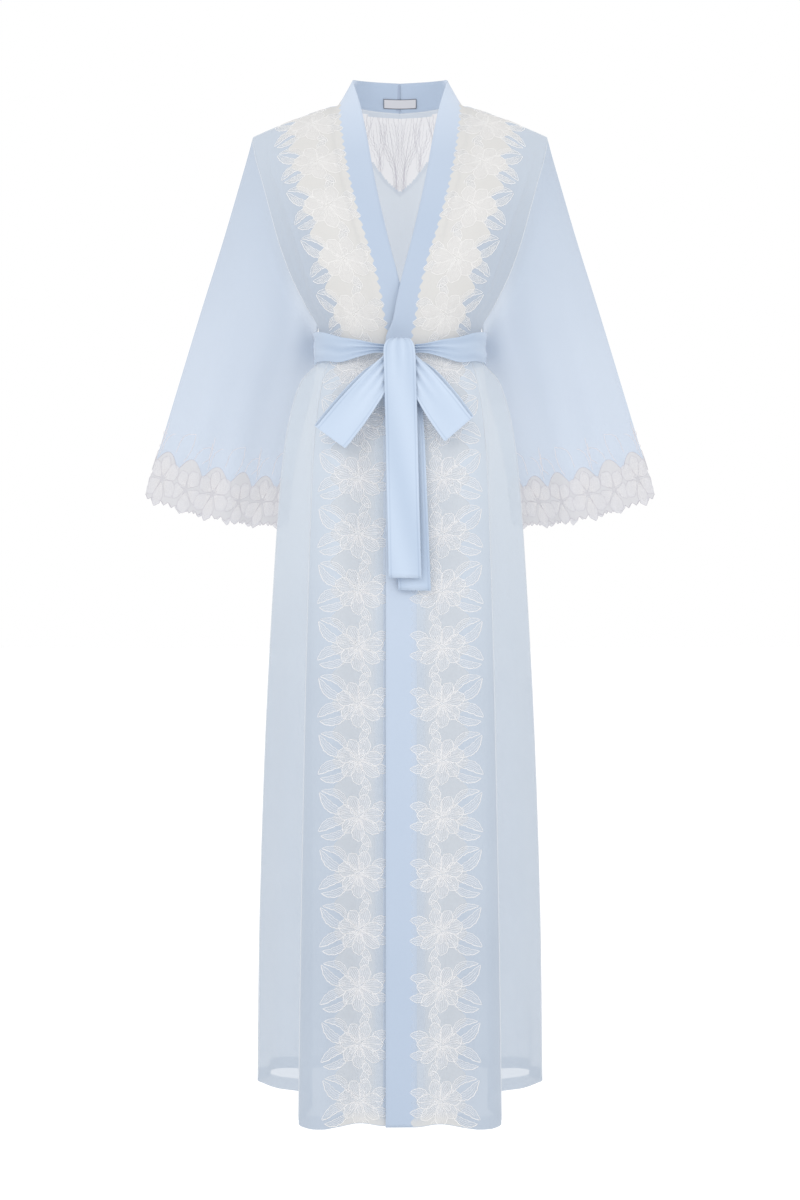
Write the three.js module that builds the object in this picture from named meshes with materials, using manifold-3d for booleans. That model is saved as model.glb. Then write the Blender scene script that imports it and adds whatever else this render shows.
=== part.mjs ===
// A long wrap robe of sheer cloth, worn but empty: front panels, back, wide sleeves, a band round the
// neck and down both fronts, scalloped lace, and a sash tied in a bow. Millimetres, +Z up.
// +X is the wearer's left and -Y the front. The origin lies between the shoulders, at the height of
// the shoulder seams' neck ends, where the wearer holds the robe up. Tables give heights above the hem.
import * as THREE from "three";
import { mergeVertices } from "three/addons/utils/BufferGeometryUtils.js";
import Module from "manifold-3d";

const solids = await Module();
solids.setup();

// ---- Driving dimensions ----
const HOLD_HEIGHT = 1440; // from the hem up to the origin
const CLOTH = 1.5; // wall of the panels, sleeves and band
const LACE = 1.2; // wall of the lace between its raised petals
const LACE_LIFT = 0.5; // the lace lies this far off the cloth
const SEAM_GAP = 0.35; // pieces are this far apart at a seam
const SHOULDER_Y = 8; // the shoulder seams lie in one plane
const BAND_X = 23; // band seam, from the centre line, on the skirt
const OVERLAP_X = 19; // the band's free edge passes the centre line by this
const UNDERLAP = 5.5; // the right front lies this far under the left one
const PETAL_REPEAT = 78; // one flower of the lace
const SASH_WIDTH = 43;
const SASH_CLOTH = 1.6;
const WAIST_HEIGHT = 1085; // middle of the sash at the sides and the back

const COLOURS = {
  cloth: 0xccdcf0,
  band: 0xbcd2f0,
  lace: 0xf0efec,
  sash: 0xbdd3f2,
  tag: 0xd9d9dc,
};

// ---- Tables ----
const table = (columns, rows) =>
  rows.map((row) => Object.fromEntries(columns.map((name, i) => [name, row[i]])));

// Half of the front's section at each height, from the band seam round to the side seam: the front
// hangs as a flat panel whose edge folds back into a pit before the side swells out.
const FRONT_SKIRT = table(
  [
    ...["height", "bandY", "waveX", "waveY", "panelX", "panelY", "cornerX", "cornerY"],
    ...["tuckX", "tuckY", "pitX", "pitY", "sideX", "sideY", "seamX", "seamY"],
  ],
  [
    [0, -152, 58, -138, 106, -163, 139, -138, 127, -70, 136, 15, 182, 46, 211, 82],
    [250, -148, 57, -137, 103, -157, 136, -132, 126, -70, 135, 6, 178, 38, 208, 70],
    [500, -140, 55, -132, 99, -146, 132, -121, 125, -68, 134, -8, 171, 24, 199, 52],
    [700, -131, 53, -125, 95, -133, 128, -108, 124, -65, 133, -18, 163, 13, 188, 38],
    [870, -122, 50, -117, 90, -119, 123, -94, 124, -60, 133, -26, 154, 2, 176, 25],
    [950, -116, 48, -112, 87, -110, 119, -84, 125, -55, 134, -27, 150, -3, 167, 18],
    [1003, -109, 46, -106, 83, -100, 114, -74, 124, -50, 132, -28, 144, -7, 156, 13],
    [1040, -101, 44, -98, 78, -87, 107, -62, 119, -45, 127, -27, 134, -9, 142, 9],
    [1064, -96, 42, -93, 75, -81, 99, -56, 108, -41, 113, -26, 117, -10, 120, 6],
    [1088, -94, 41, -91, 73, -79, 95, -55, 104, -41, 110, -26, 114, -10, 117, 6],
  ],
);
// Half of the back's section at the same heights, from the side seam to the centre back.
const BACK_SKIRT = table(
  ["height", "hipX", "hipY", "bladeX", "bladeY", "midX", "midY", "centreY"],
  [
    [0, 203, 120, 164, 160, 90, 183, 188],
    [250, 200, 109, 160, 150, 88, 173, 178],
    [500, 191, 92, 152, 136, 85, 158, 163],
    [700, 181, 77, 144, 122, 80, 144, 149],
    [870, 170, 62, 136, 106, 76, 129, 134],
    [950, 162, 54, 129, 96, 73, 119, 124],
    [1003, 152, 47, 120, 86, 69, 108, 113],
    [1040, 139, 41, 109, 77, 63, 98, 102],
    [1064, 118, 34, 95, 67, 56, 87, 91],
    [1088, 115, 33, 92, 65, 54, 85, 89],
  ],
);
// The front above the sash: the band's free edge, the band seam, mid chest and the armhole. The first
// row is at the underarm and the last is the shoulder seam.
const FRONT_BODICE = table(
  [
    ...["edgeX", "edgeY", "edgeZ", "bandX", "bandY", "bandZ"],
    ...["chestX", "chestY", "chestZ", "armX", "armY", "armZ"],
  ],
  [
    [-10, -101, 1109, 28, -98, 1116, 87, -70, 1116, 119, 8, 1116],
    [-4, -110, 1138, 33, -106, 1150, 95, -90, 1148, 137, -36, 1146],
    [4, -119, 1172, 42, -113, 1190, 103, -105, 1187, 155, -52, 1182],
    [15, -120, 1214, 56, -113, 1235, 114, -112, 1231, 171, -57, 1226],
    [27, -109, 1266, 70, -101, 1285, 126, -103, 1280, 184, -52, 1272],
    [38, -88, 1321, 81, -76, 1335, 139, -80, 1328, 196, -40, 1316],
    [47, -62, 1375, 88, -46, 1383, 149, -50, 1372, 206, -23, 1350],
    [57, -36, 1426, 92, -17, 1420, 153, -19, 1407, 212, -4, 1377],
    [69, -10, 1469, 89, 8, 1440, 152, 8, 1418, 214, 8, 1392],
  ],
);
// The back above the sash, with its last row the shoulder seam and the neck seam, made from the
// front's shoulder row and the neck table.
const BACK_BODICE = table(
  ["armX", "armY", "armZ", "hipX", "hipY", "bladeX", "bladeY", "midX", "midY", "centreY", "centreZ"],
  [
    [119, 8, 1116, 117, 35, 93, 68, 54, 87, 92, 1116],
    [138, 42, 1146, 123, 66, 97, 86, 54, 98, 101, 1148],
    [156, 58, 1182, 136, 82, 102, 100, 54, 107, 108, 1184],
    [172, 64, 1226, 149, 90, 107, 108, 54, 114, 113, 1230],
    [185, 62, 1272, 157, 90, 110, 109, 55, 115, 113, 1280],
    [197, 53, 1316, 162, 81, 112, 103, 56, 111, 109, 1328],
    [206, 38, 1350, 164, 65, 112, 89, 57, 101, 101, 1375],
    [212, 21, 1377, 162, 36, 110, 58, 56, 85, 86, 1415],
  ],
);
// The band round the back of the neck, from the shoulder to the centre back.
const NECK = table(
  ["edgeX", "edgeY", "edgeZ", "seamX", "seamY", "seamZ"],
  [
    [68, 8, 1476, 85, 27, 1444],
    [58, 31, 1481, 67, 47, 1447],
    [35, 49, 1484, 38, 62, 1446],
    [0, 56, 1484, 0, 68, 1444],
  ],
);
// The sleeve's outline at shares of its length: its outer line and its inner fold.
const SLEEVE = table(
  ["share", "outerX", "outerY", "outerZ", "innerX", "innerY", "innerZ"],
  [
    [0, 214, 8, 1392, 119, 8, 1116],
    [0.06, 222.5, 9, 1361, 123, 46, 1104],
    [0.15, 236, 10, 1315, 123, 63, 1079],
    [0.3, 259, 12, 1238, 130, 74, 1032],
    [0.5, 291, 14, 1137, 146, 80, 972],
    [0.75, 330, 15, 1009, 160, 84, 902],
    [1, 369, 16, 880, 169, 84, 830],
  ],
);

// ---- Curves and grids ----
const clamp = (value, low, high) => Math.min(high, Math.max(low, value));
const mix = (a, b, t) => a + (b - a) * t;
const smooth = (t) => {
  const s = clamp(t, 0, 1);
  return s * s * (3 - 2 * s);
};
const point = (x, y, z) => new THREE.Vector3(x, y, z);
const span = (from, to) => Array.from({ length: to - from + 1 }, (_, i) => from + i);

// A smooth curve through points, at t counted in points from the first.
function through(points, t) {
  const last = points.length - 1;
  const i = clamp(Math.floor(t), 0, last - 1);
  const f = t - i;
  const at = (k) => {
    if (k < 0) return points[0].clone().multiplyScalar(2).sub(points[1]);
    if (k > last) return points[last].clone().multiplyScalar(2).sub(points[last - 1]);
    return points[k];
  };
  const [a, b, c, d] = [at(i - 1), at(i), at(i + 1), at(i + 2)];
  const value = (p, q, r, s) =>
    0.5 * (2 * q + (r - p) * f + (2 * p - 5 * q + 4 * r - s) * f * f + (3 * q - p - 3 * r + s) * f ** 3);
  return point(value(a.x, b.x, c.x, d.x), value(a.y, b.y, c.y, d.y), value(a.z, b.z, c.z, d.z));
}

// Stops 0..n-1 with a number of steps between each pair: [0, 1/2, 1, ...].
function stops(steps) {
  const found = [0];
  steps.forEach((count, i) => {
    for (let k = 1; k <= count; k += 1) found.push(i + k / count);
  });
  return found;
}

// A grid of points over rails: each rail is a list of control points, all of one length.
function gridOver(rails, rowStops, columnStops) {
  return rowStops.map((v) =>
    columnStops.map((u) =>
      through(
        rails.map((rail) => through(rail, u)),
        v,
      ),
    ),
  );
}

// Outward normals of a grid. closed joins the last column to the first, and sideways(r, c, step)
// can give a neighbour that lies past the grid's edge, on the next panel.
function normalsOf(grid, { closed = false, outward, sideways = () => null }) {
  const rows = grid.length;
  const columns = grid[0].length;
  const column = (c) => (closed ? (c + columns) % columns : clamp(c, 0, columns - 1));
  return grid.map((row, r) =>
    row.map((p, c) => {
      const before = sideways(r, c, -1) ?? row[column(c - 1)];
      const after = sideways(r, c, 1) ?? row[column(c + 1)];
      const across = after.clone().sub(before);
      const along = grid[Math.min(rows - 1, r + 1)][c].clone().sub(grid[Math.max(0, r - 1)][c]);
      const normal = across.cross(along).normalize();
      return normal.dot(outward(p)) < 0 ? normal.negate() : normal;
    }),
  );
}

// The points moved along their normals.
function moved(grid, normals, distance) {
  return grid.map((row, r) => row.map((p, c) => p.clone().addScaledVector(normals[r][c], distance)));
}

// The closed wall between an outer and an inner grid.
function wall(outer, inner, closed = false) {
  const rows = outer.length;
  const columns = outer[0].length;
  const positions = [];
  const quad = (a, b, c, d) => positions.push(a, b, c, a, c, d);
  const spans = closed ? columns : columns - 1;
  const next = (c) => (c + 1) % columns;
  for (let r = 0; r + 1 < rows; r += 1) {
    for (let c = 0; c < spans; c += 1) {
      quad(outer[r][c], outer[r][next(c)], outer[r + 1][next(c)], outer[r + 1][c]);
      quad(inner[r][c], inner[r + 1][c], inner[r + 1][next(c)], inner[r][next(c)]);
    }
  }
  for (let c = 0; c < spans; c += 1) {
    quad(outer[0][c], inner[0][c], inner[0][next(c)], outer[0][next(c)]);
    quad(outer[rows - 1][c], outer[rows - 1][next(c)], inner[rows - 1][next(c)], inner[rows - 1][c]);
  }
  if (!closed) {
    for (let r = 0; r + 1 < rows; r += 1) {
      quad(outer[r][0], outer[r + 1][0], inner[r + 1][0], inner[r][0]);
      quad(outer[r][spans], inner[r][spans], inner[r + 1][spans], outer[r + 1][spans]);
    }
  }
  return solidFrom(positions);
}

// A geometry from a list of triangle corners, turned so that its faces point out.
function solidFrom(corners) {
  let volume = 0;
  for (let i = 0; i < corners.length; i += 3) {
    volume += corners[i].clone().cross(corners[i + 1]).dot(corners[i + 2]);
  }
  const order = volume < 0 ? [0, 2, 1] : [0, 1, 2];
  const numbers = [];
  for (let i = 0; i < corners.length; i += 3) {
    for (const k of order) numbers.push(corners[i + k].x, corners[i + k].y, corners[i + k].z - HOLD_HEIGHT);
  }
  const geometry = new THREE.BufferGeometry();
  geometry.setAttribute("position", new THREE.Float32BufferAttribute(numbers, 3));
  geometry.computeVertexNormals();
  return geometry;
}

const mirrored = (grid) => grid.map((row) => row.map((p) => point(-p.x, p.y, p.z)));
const columnsOf = (grid, from, to) => grid.map((row) => row.slice(from, to + 1));

// Moves one column of a grid towards the next one in, to leave a seam's gap.
function trimmed(grid, column, towards, distance, rows = [0, Infinity]) {
  return grid.map((row, r) => {
    if (r < rows[0] || r > rows[1]) return row;
    const step = row[column + towards].clone().sub(row[column]).setLength(distance);
    return row.map((p, c) => (c === column ? p.clone().add(step) : p));
  });
}

// A grid read at fractions of its rows and columns, flat between its points as the wall's faces are.
function read(grid, rowAt, columnAt, closed = false) {
  const columns = grid[0].length;
  const r = clamp(Math.floor(rowAt), 0, grid.length - 2);
  const c = closed ? Math.floor(columnAt) : clamp(Math.floor(columnAt), 0, columns - 2);
  const wrap = (k) => ((k % columns) + columns) % columns;
  const [a, b] = closed ? [wrap(c), wrap(c + 1)] : [c, c + 1];
  const low = grid[r][a].clone().lerp(grid[r][b], columnAt - c);
  const high = grid[r + 1][a].clone().lerp(grid[r + 1][b], columnAt - c);
  return low.lerp(high, rowAt - r);
}

// ---- The body ----
// Places of the control points between the band seam and the armhole, as shares of the way.
const BODICE_SHARES = [0, 0.1, 0.33, 0.57, 0.68, 0.78, 0.89, 1];
const SKIRT_STEPS = [2, 2, 1, 1, 1, 1, 1, 1, 1, 1]; // rows between the heights, up to the underarm
const FRONT_STEPS = [1, 2, 2, 3, 2, 2, 1, 2]; // columns from the free edge to the side seam
const BACK_STEPS = [3, 3, 3, 3]; // columns from the side seam to the centre back
const BODICE_SPANS = FRONT_BODICE.length - 1;
const ROW_STOPS = stops([...SKIRT_STEPS, ...Array(BODICE_SPANS).fill(1)]);
const UNDERARM = SKIRT_STEPS.reduce((a, b) => a + b, 0); // row of the underarm
const TOP = ROW_STOPS.length - 1; // row of the shoulder seam
const BAND_COLUMN = FRONT_STEPS[0];
const SIDE_COLUMN = FRONT_STEPS.reduce((a, b) => a + b, 0);
const CENTRE_COLUMN = BACK_STEPS.reduce((a, b) => a + b, 0);
const SHOULDER_COLUMNS = CENTRE_COLUMN / 2; // columns of the back that end on the shoulder seam
const BACK_FLUTES = { depth: 13, count: 2.5, fades: 1000 };

// A parabola through three points, at a share of the way.
function parabola(a, b, c, t) {
  const [wa, wb, wc] = [(1 - t) * (1 - 2 * t), 4 * t * (1 - t), t * (2 * t - 1)];
  return a.clone().multiplyScalar(wa).addScaledVector(b, wb).addScaledVector(c, wc);
}

function frontRails() {
  const skirt = FRONT_SKIRT.map((s) => [
    point(-OVERLAP_X, s.bandY - 1, s.height),
    point(BAND_X, s.bandY, s.height),
    point(s.waveX, s.waveY, s.height),
    point(s.panelX, s.panelY, s.height),
    point(s.cornerX, s.cornerY, s.height),
    point(s.tuckX, s.tuckY, s.height),
    point(s.pitX, s.pitY, s.height),
    point(s.sideX, s.sideY, s.height),
    point(s.seamX, s.seamY, s.height),
  ]);
  const bodice = FRONT_BODICE.map((s) => {
    const seam = point(s.bandX, s.bandY, s.bandZ);
    const chest = point(s.chestX, s.chestY, s.chestZ);
    const arm = point(s.armX, s.armY, s.armZ);
    const across = BODICE_SHARES.map((t) => parabola(seam, chest, arm, t));
    return [point(s.edgeX, s.edgeY, s.edgeZ), ...across];
  });
  return [...skirt, ...bodice];
}

// The left front with its band; the right one is its mirror image, moved in where it lies under.
// The shoulder row lies in the plane of the seam, half a gap in front of it.
function frontGrid(side) {
  const grid = gridOver(frontRails(), ROW_STOPS, stops(FRONT_STEPS));
  for (const p of grid[TOP].slice(BAND_COLUMN)) p.y = SHOULDER_Y - SEAM_GAP / 2;
  if (side > 0) return grid;
  const fadeRows = [UNDERARM + 1, UNDERARM + 5];
  const fadeColumns = [BAND_COLUMN + 1, BAND_COLUMN + FRONT_STEPS[1] + 2];
  return mirrored(grid).map((row, r) =>
    row.map((p, c) => {
      const byRow = 1 - smooth((r - fadeRows[0]) / (fadeRows[1] - fadeRows[0]));
      const byColumn = 1 - smooth((c - fadeColumns[0]) / (fadeColumns[1] - fadeColumns[0]));
      return point(p.x, p.y + UNDERLAP * byRow * byColumn, p.z);
    }),
  );
}

// Rounded flutes that deepen towards the hem, across the back from the side seam to the centre.
function fluted(p, share) {
  const fade = Math.max(0, 1 - p.z / BACK_FLUTES.fades) ** 1.4;
  const wave = Math.sin(Math.PI * share) ** 0.5 * Math.cos(2 * Math.PI * BACK_FLUTES.count * share);
  const out = point(p.x, p.y, 0).normalize();
  return p.clone().addScaledVector(out, BACK_FLUTES.depth * fade * wave);
}

function backGrid(front) {
  const skirt = BACK_SKIRT.map((s, i) => [
    point(FRONT_SKIRT[i].seamX, FRONT_SKIRT[i].seamY, s.height),
    point(s.hipX, s.hipY, s.height),
    point(s.bladeX, s.bladeY, s.height),
    point(s.midX, s.midY, s.height),
    point(0, s.centreY, s.height),
  ]);
  const bodice = BACK_BODICE.map((s) => {
    const height = (x) => mix(s.centreZ, s.armZ, (x / s.armX) ** 2);
    return [
      point(s.armX, s.armY, s.armZ),
      point(s.hipX, s.hipY, height(s.hipX)),
      point(s.bladeX, s.bladeY, height(s.bladeX)),
      point(s.midX, s.midY, height(s.midX)),
      point(0, s.centreY, s.centreZ),
    ];
  });
  // The last rail: along the shoulder seam for two control points, then along the neck seam.
  const shoulder = front[TOP].slice(BAND_COLUMN).reverse();
  shoulder.forEach((p, i) => (shoulder[i] = point(p.x, SHOULDER_Y + SEAM_GAP / 2, p.z)));
  const neck = [shoulder.at(-1), ...NECK.map((s) => point(s.seamX, s.seamY, s.seamZ - SEAM_GAP))];
  const topRow = span(0, CENTRE_COLUMN).map((c) => {
    const share = c / SHOULDER_COLUMNS;
    if (share <= 1) return through(shoulder, share * (shoulder.length - 1));
    return through(neck, (share - 1) * (neck.length - 1));
  });
  const rails = [...skirt, ...bodice].map((rail) => stops(BACK_STEPS).map((u) => through(rail, u)));
  rails.push(topRow);
  const half = ROW_STOPS.map((v) => topRow.map((_, c) => through(rails.map((rail) => rail[c]), v)));
  return half.map((row) => row.map((p, c) => fluted(p, c / CENTRE_COLUMN)));
}

const bodyOutward = (p) => point(p.x, p.y, p.z > 1380 ? 60 : 0);
const left = frontGrid(1);
const right = frontGrid(-1);
const halfBack = backGrid(left);
const back = halfBack.map((row) => [...row, ...row.slice(0, -1).reverse().map((p) => point(-p.x, p.y, p.z))]);
const BACK_COLUMNS = back[0].length;
const backNeighbour = (side) => (r, c, step) => {
  if (r > UNDERARM || c !== SIDE_COLUMN || step < 0) return null;
  return side > 0 ? back[r][1] : back[r][BACK_COLUMNS - 2];
};
const frontNeighbour = (r, c, step) => {
  if (r > UNDERARM) return null;
  if (c === 0 && step < 0) return left[r][SIDE_COLUMN - 1];
  if (c === BACK_COLUMNS - 1 && step > 0) return right[r][SIDE_COLUMN - 1];
  return null;
};
// Along the shoulder seam both walls stand square to the seam, so that their ends are parallel.
function squareToShoulder(normals, grid, columns) {
  for (const c of columns) {
    const row = grid[TOP];
    const along = row[Math.min(row.length - 1, c + 1)].clone().sub(row[Math.max(0, c - 1)]);
    const normal = point(-along.z, 0, along.x).normalize();
    normals[TOP][c] = normal.z < 0 ? normal.negate() : normal;
  }
  return normals;
}
const leftNormals = squareToShoulder(
  normalsOf(left, { outward: bodyOutward, sideways: backNeighbour(1) }),
  left,
  span(BAND_COLUMN, SIDE_COLUMN),
);
const rightNormals = squareToShoulder(
  normalsOf(right, { outward: bodyOutward, sideways: backNeighbour(-1) }),
  right,
  span(BAND_COLUMN, SIDE_COLUMN),
);
const backNormals = squareToShoulder(
  normalsOf(back, { outward: bodyOutward, sideways: frontNeighbour }),
  back,
  [...span(0, SHOULDER_COLUMNS), ...span(BACK_COLUMNS - 1 - SHOULDER_COLUMNS, BACK_COLUMNS - 1)],
);

function frontPanel(grid, normals) {
  const atSeam = trimmed(grid, SIDE_COLUMN, -1, SEAM_GAP / 2, [0, UNDERARM]);
  const outer = columnsOf(trimmed(atSeam, BAND_COLUMN, 1, SEAM_GAP / 2), BAND_COLUMN, SIDE_COLUMN);
  return wall(outer, moved(outer, columnsOf(normals, BAND_COLUMN, SIDE_COLUMN), -CLOTH));
}

function backPanel() {
  const last = BACK_COLUMNS - 1;
  const leftCut = trimmed(back, 0, 1, SEAM_GAP / 2, [0, UNDERARM]);
  const outer = trimmed(leftCut, last, -1, SEAM_GAP / 2, [0, UNDERARM]);
  return wall(outer, moved(outer, backNormals, -CLOTH));
}

// ---- The band ----
// Each half runs from the hem up its front, over the shoulder and round to the centre back.
const NECK_STEPS = 2; // rows of the band between the rows of the neck table
function bandGrid(grid, side) {
  const across = (edge, seam) => span(0, BAND_COLUMN).map((c) => edge.clone().lerp(seam, c / BAND_COLUMN));
  const round = NECK.map((s) =>
    across(point(side * s.edgeX, s.edgeY, s.edgeZ), point(side * s.seamX, s.seamY, s.seamZ)),
  );
  const ends = [grid[TOP].slice(0, BAND_COLUMN + 1), ...round];
  const neckRows = gridOver(ends, stops(NECK.map(() => NECK_STEPS)).slice(1), span(0, BAND_COLUMN));
  for (const p of neckRows.at(-1)) p.x = (side * SEAM_GAP) / 2;
  return [...columnsOf(grid, 0, BAND_COLUMN), ...neckRows];
}

function band(grid) {
  const frontSide = (p) => point(p.x, 5 * p.y - 200, 50);
  const backSide = (p) => point(p.x, p.y + 20, 10);
  const normals = normalsOf(grid, { outward: (p) => (p.y > 0 ? backSide(p) : frontSide(p)) });
  for (const n of normals.at(-1)) n.setX(0).normalize();
  const outer = trimmed(grid, BAND_COLUMN, -1, SEAM_GAP / 2);
  return wall(outer, moved(outer, normals, -CLOTH));
}

// ---- The sleeves ----
const RING_HALF = 16; // columns down the front of a sleeve, and again up its back
const SLEEVE_ROWS = [0, 0.06, 0.14, 0.27, 0.42, 0.58, 0.73, 0.86, 0.965, 1.04];
const SLEEVE_END = SLEEVE_ROWS.indexOf(0.965);
const SLEEVE_LENS = { front: 40, back: 34, sag: 15, power: 0.8 };
const SLEEVE_FOLDS = { depth: 5, count: 3 };

// Points and normals round one armhole: down the front from the shoulder, then up the back.
function armhole(front, frontNormals, backColumn, inwards) {
  const frontRows = span(UNDERARM, TOP).reverse();
  const backRows = span(UNDERARM, TOP);
  const frontEdge = frontRows.map((r) => ({
    p: front[r][SIDE_COLUMN],
    n: frontNormals[r][SIDE_COLUMN],
    out: front[r][SIDE_COLUMN].clone().sub(front[r][SIDE_COLUMN - 1]).normalize(),
  }));
  const backEdge = backRows.map((r) => ({
    p: back[r][backColumn],
    n: backNormals[r][backColumn],
    out: back[r][backColumn].clone().sub(back[r][backColumn + inwards]).normalize(),
  }));
  const shared = (a, b) => ({ p: a.p, n: a.n, out: a.out.clone().add(b.out).normalize() });
  const corners = [
    shared(frontEdge[0], backEdge.at(-1)),
    ...frontEdge.slice(1, -1),
    shared(frontEdge.at(-1), backEdge[0]),
    ...backEdge.slice(1, -1),
  ];
  const halved = (a, b) => ({
    p: a.p.clone().lerp(b.p, 0.5),
    n: a.n.clone().lerp(b.n, 0.5),
    out: a.out.clone().lerp(b.out, 0.5),
  });
  return corners.flatMap((a, i) => [a, halved(a, corners[(i + 1) % corners.length])]);
}

function outlineAt(share, side) {
  const at = SLEEVE.findIndex((s) => s.share > share);
  const i = at < 1 ? SLEEVE.length - 2 : at - 1;
  const t = i + (share - SLEEVE[i].share) / (SLEEVE[i + 1].share - SLEEVE[i].share);
  const outer = SLEEVE.map((s) => point(side * s.outerX, s.outerY, s.outerZ));
  const inner = SLEEVE.map((s) => point(side * s.innerX, s.innerY, s.innerZ));
  return { outer: through(outer, t), inner: through(inner, t) };
}

function sleeveGrid(ring, side) {
  const start = outlineAt(0, side);
  const chord = start.inner.clone().sub(start.outer);
  const shares = ring.map(({ p }) => clamp(p.clone().sub(start.outer).dot(chord) / chord.lengthSq(), 0, 1));
  const strays = ring.map(({ p }, k) => p.clone().sub(start.outer.clone().lerp(start.inner, shares[k])));
  return SLEEVE_ROWS.map((share) => {
    const { outer, inner } = outlineAt(share, side);
    return ring.map((_, k) => {
      const isFront = k <= RING_HALF;
      const bow = Math.sin(Math.PI * shares[k]) ** SLEEVE_LENS.power;
      const fold = SLEEVE_FOLDS.depth * share * Math.sin(2 * Math.PI * SLEEVE_FOLDS.count * shares[k]) * bow;
      const depth = isFront ? -SLEEVE_LENS.front : SLEEVE_LENS.back;
      const lens = point(0, depth * bow + fold, -SLEEVE_LENS.sag * bow);
      return outer.clone().lerp(inner, shares[k]).add(strays[k].clone().lerp(lens, share));
    });
  });
}

function sleeve(ring, side) {
  const grid = sleeveGrid(ring, side);
  const sum = (row) => row.reduce((total, p) => total.add(p), point(0, 0, 0));
  const middles = grid.map((row) => sum(row).divideScalar(row.length));
  const middleOf = (p) => middles.reduce((best, m) => (m.distanceTo(p) < best.distanceTo(p) ? m : best));
  const normals = normalsOf(grid, { closed: true, outward: (p) => p.clone().sub(middleOf(p)) });
  normals[0] = ring.map(({ n }) => n);
  grid[0] = ring.map(({ p, out }) => p.clone().addScaledVector(out, SEAM_GAP));
  const outer = grid.slice(0, SLEEVE_END + 1);
  return { grid, normals, geometry: wall(outer, moved(outer, normals, -CLOTH), true) };
}

// ---- The lace ----
// Each piece is a thin slab over the points of the cloth below it, cut to its outline from the front.

// The outer edge of the lace over one repeat, with its flower and the tips of three leaves, and its
// small inner scallops: millimetres up the band seam, and out from it.
const LACE_OUTER = table(
  ["along", "out"],
  [[0, 66], [9, 86], [21, 71], [43, 77], [52, 104], [65, 92]],
);
const LACE_INNER = table(["along", "out"], [[0, -3], [19.5, -8], [39, -3], [58.5, -8]]);
const LACE_START = 4; // up from the hem
const EDGE_MARGIN = 5; // the lace stays this far inside the fold of the front and the armhole

function toSolid(geometry) {
  const plain = new THREE.BufferGeometry();
  const whole = geometry.index ? geometry.toNonIndexed() : geometry;
  plain.setAttribute("position", whole.getAttribute("position"));
  const merged = mergeVertices(plain, 1e-4);
  return new solids.Manifold(
    new solids.Mesh({
      numProp: 3,
      vertProperties: merged.getAttribute("position").array,
      triVerts: Uint32Array.from(merged.index.array),
    }),
  );
}

function fromSolid(solid) {
  const { vertProperties, triVerts } = solid.getMesh();
  const geometry = new THREE.BufferGeometry();
  geometry.setAttribute("position", new THREE.Float32BufferAttribute(vertProperties, 3));
  geometry.setIndex(new THREE.BufferAttribute(triVerts, 1));
  return geometry;
}

// A prism along Y through the whole robe, over an outline of points seen from the front.
const PRISM_DEPTH = 600;
function prism(outline) {
  const shape = new THREE.Shape(outline.map((p) => new THREE.Vector2(p.x, p.z - HOLD_HEIGHT)));
  const geometry = new THREE.ExtrudeGeometry(shape, { depth: PRISM_DEPTH, bevelEnabled: false });
  geometry.rotateX(Math.PI / 2);
  geometry.translate(0, PRISM_DEPTH / 2, 0);
  return toSolid(geometry);
}

// The slab over part of a grid of points, from the lift up to a height over the lift.
function slab(grid, normals, height, closed = false) {
  const inner = moved(grid, normals, LACE_LIFT);
  return toSolid(wall(moved(grid, normals, LACE_LIFT + height), inner, closed));
}

// The length from one column to another along a row of faces, which may lie between two rows.
function rowLengths(grid, rowAt, columns) {
  const places = columns.map((c) => read(grid, rowAt, c));
  const lengths = [0];
  places.slice(1).forEach((p, i) => lengths.push(lengths[i] + p.distanceTo(places[i])));
  return lengths;
}

// The place at a length along a list of lengths, in steps of the list.
function stepAt(lengths, wanted) {
  const i = clamp(lengths.findIndex((length) => length >= wanted) - 1, 0, lengths.length - 2);
  return i + (wanted - lengths[i]) / (lengths[i + 1] - lengths[i]);
}

function frontLace(grid, normals) {
  const seam = grid.map((row) => row[BAND_COLUMN]);
  const seamLengths = [0];
  seam.slice(1).forEach((p, i) => seamLengths.push(seamLengths[i] + p.distanceTo(seam[i])));
  const fold = BAND_COLUMN + FRONT_STEPS[1] + FRONT_STEPS[2] + FRONT_STEPS[3];
  // A point of the cloth, in millimetres up the band seam and out from it.
  const place = (along, out) => {
    const rowAt = stepAt(seamLengths, clamp(along, 0, seamLengths.at(-1)));
    if (out < 0) {
      const bandWidth = rowLengths(grid, rowAt, [0, BAND_COLUMN])[1];
      return read(grid, rowAt, BAND_COLUMN * (1 + out / bandWidth));
    }
    const last = rowAt > UNDERARM ? SIDE_COLUMN : fold;
    const lengths = rowLengths(grid, rowAt, span(BAND_COLUMN, last));
    return read(grid, rowAt, BAND_COLUMN + stepAt(lengths, Math.min(out, lengths.at(-1) - EDGE_MARGIN)));
  };
  const end = seamLengths.at(-1) + PETAL_REPEAT;
  const edge = (repeat) => {
    const found = [];
    for (let base = LACE_START; base < end; base += PETAL_REPEAT) {
      for (const { along, out } of repeat) {
        if (base + along < seamLengths.at(-1) + 3) found.push(place(base + along, out));
      }
    }
    return found;
  };
  const above = (p) => point(p.x, 0, p.z + PETAL_REPEAT);
  const [inner, outer] = [edge(LACE_INNER), edge(LACE_OUTER)];
  const outline = [...inner, above(inner.at(-1)), above(outer.at(-1)), ...outer.reverse()];
  return fromSolid(slab(grid, normals, LACE).intersect(prism(outline)));
}

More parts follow.
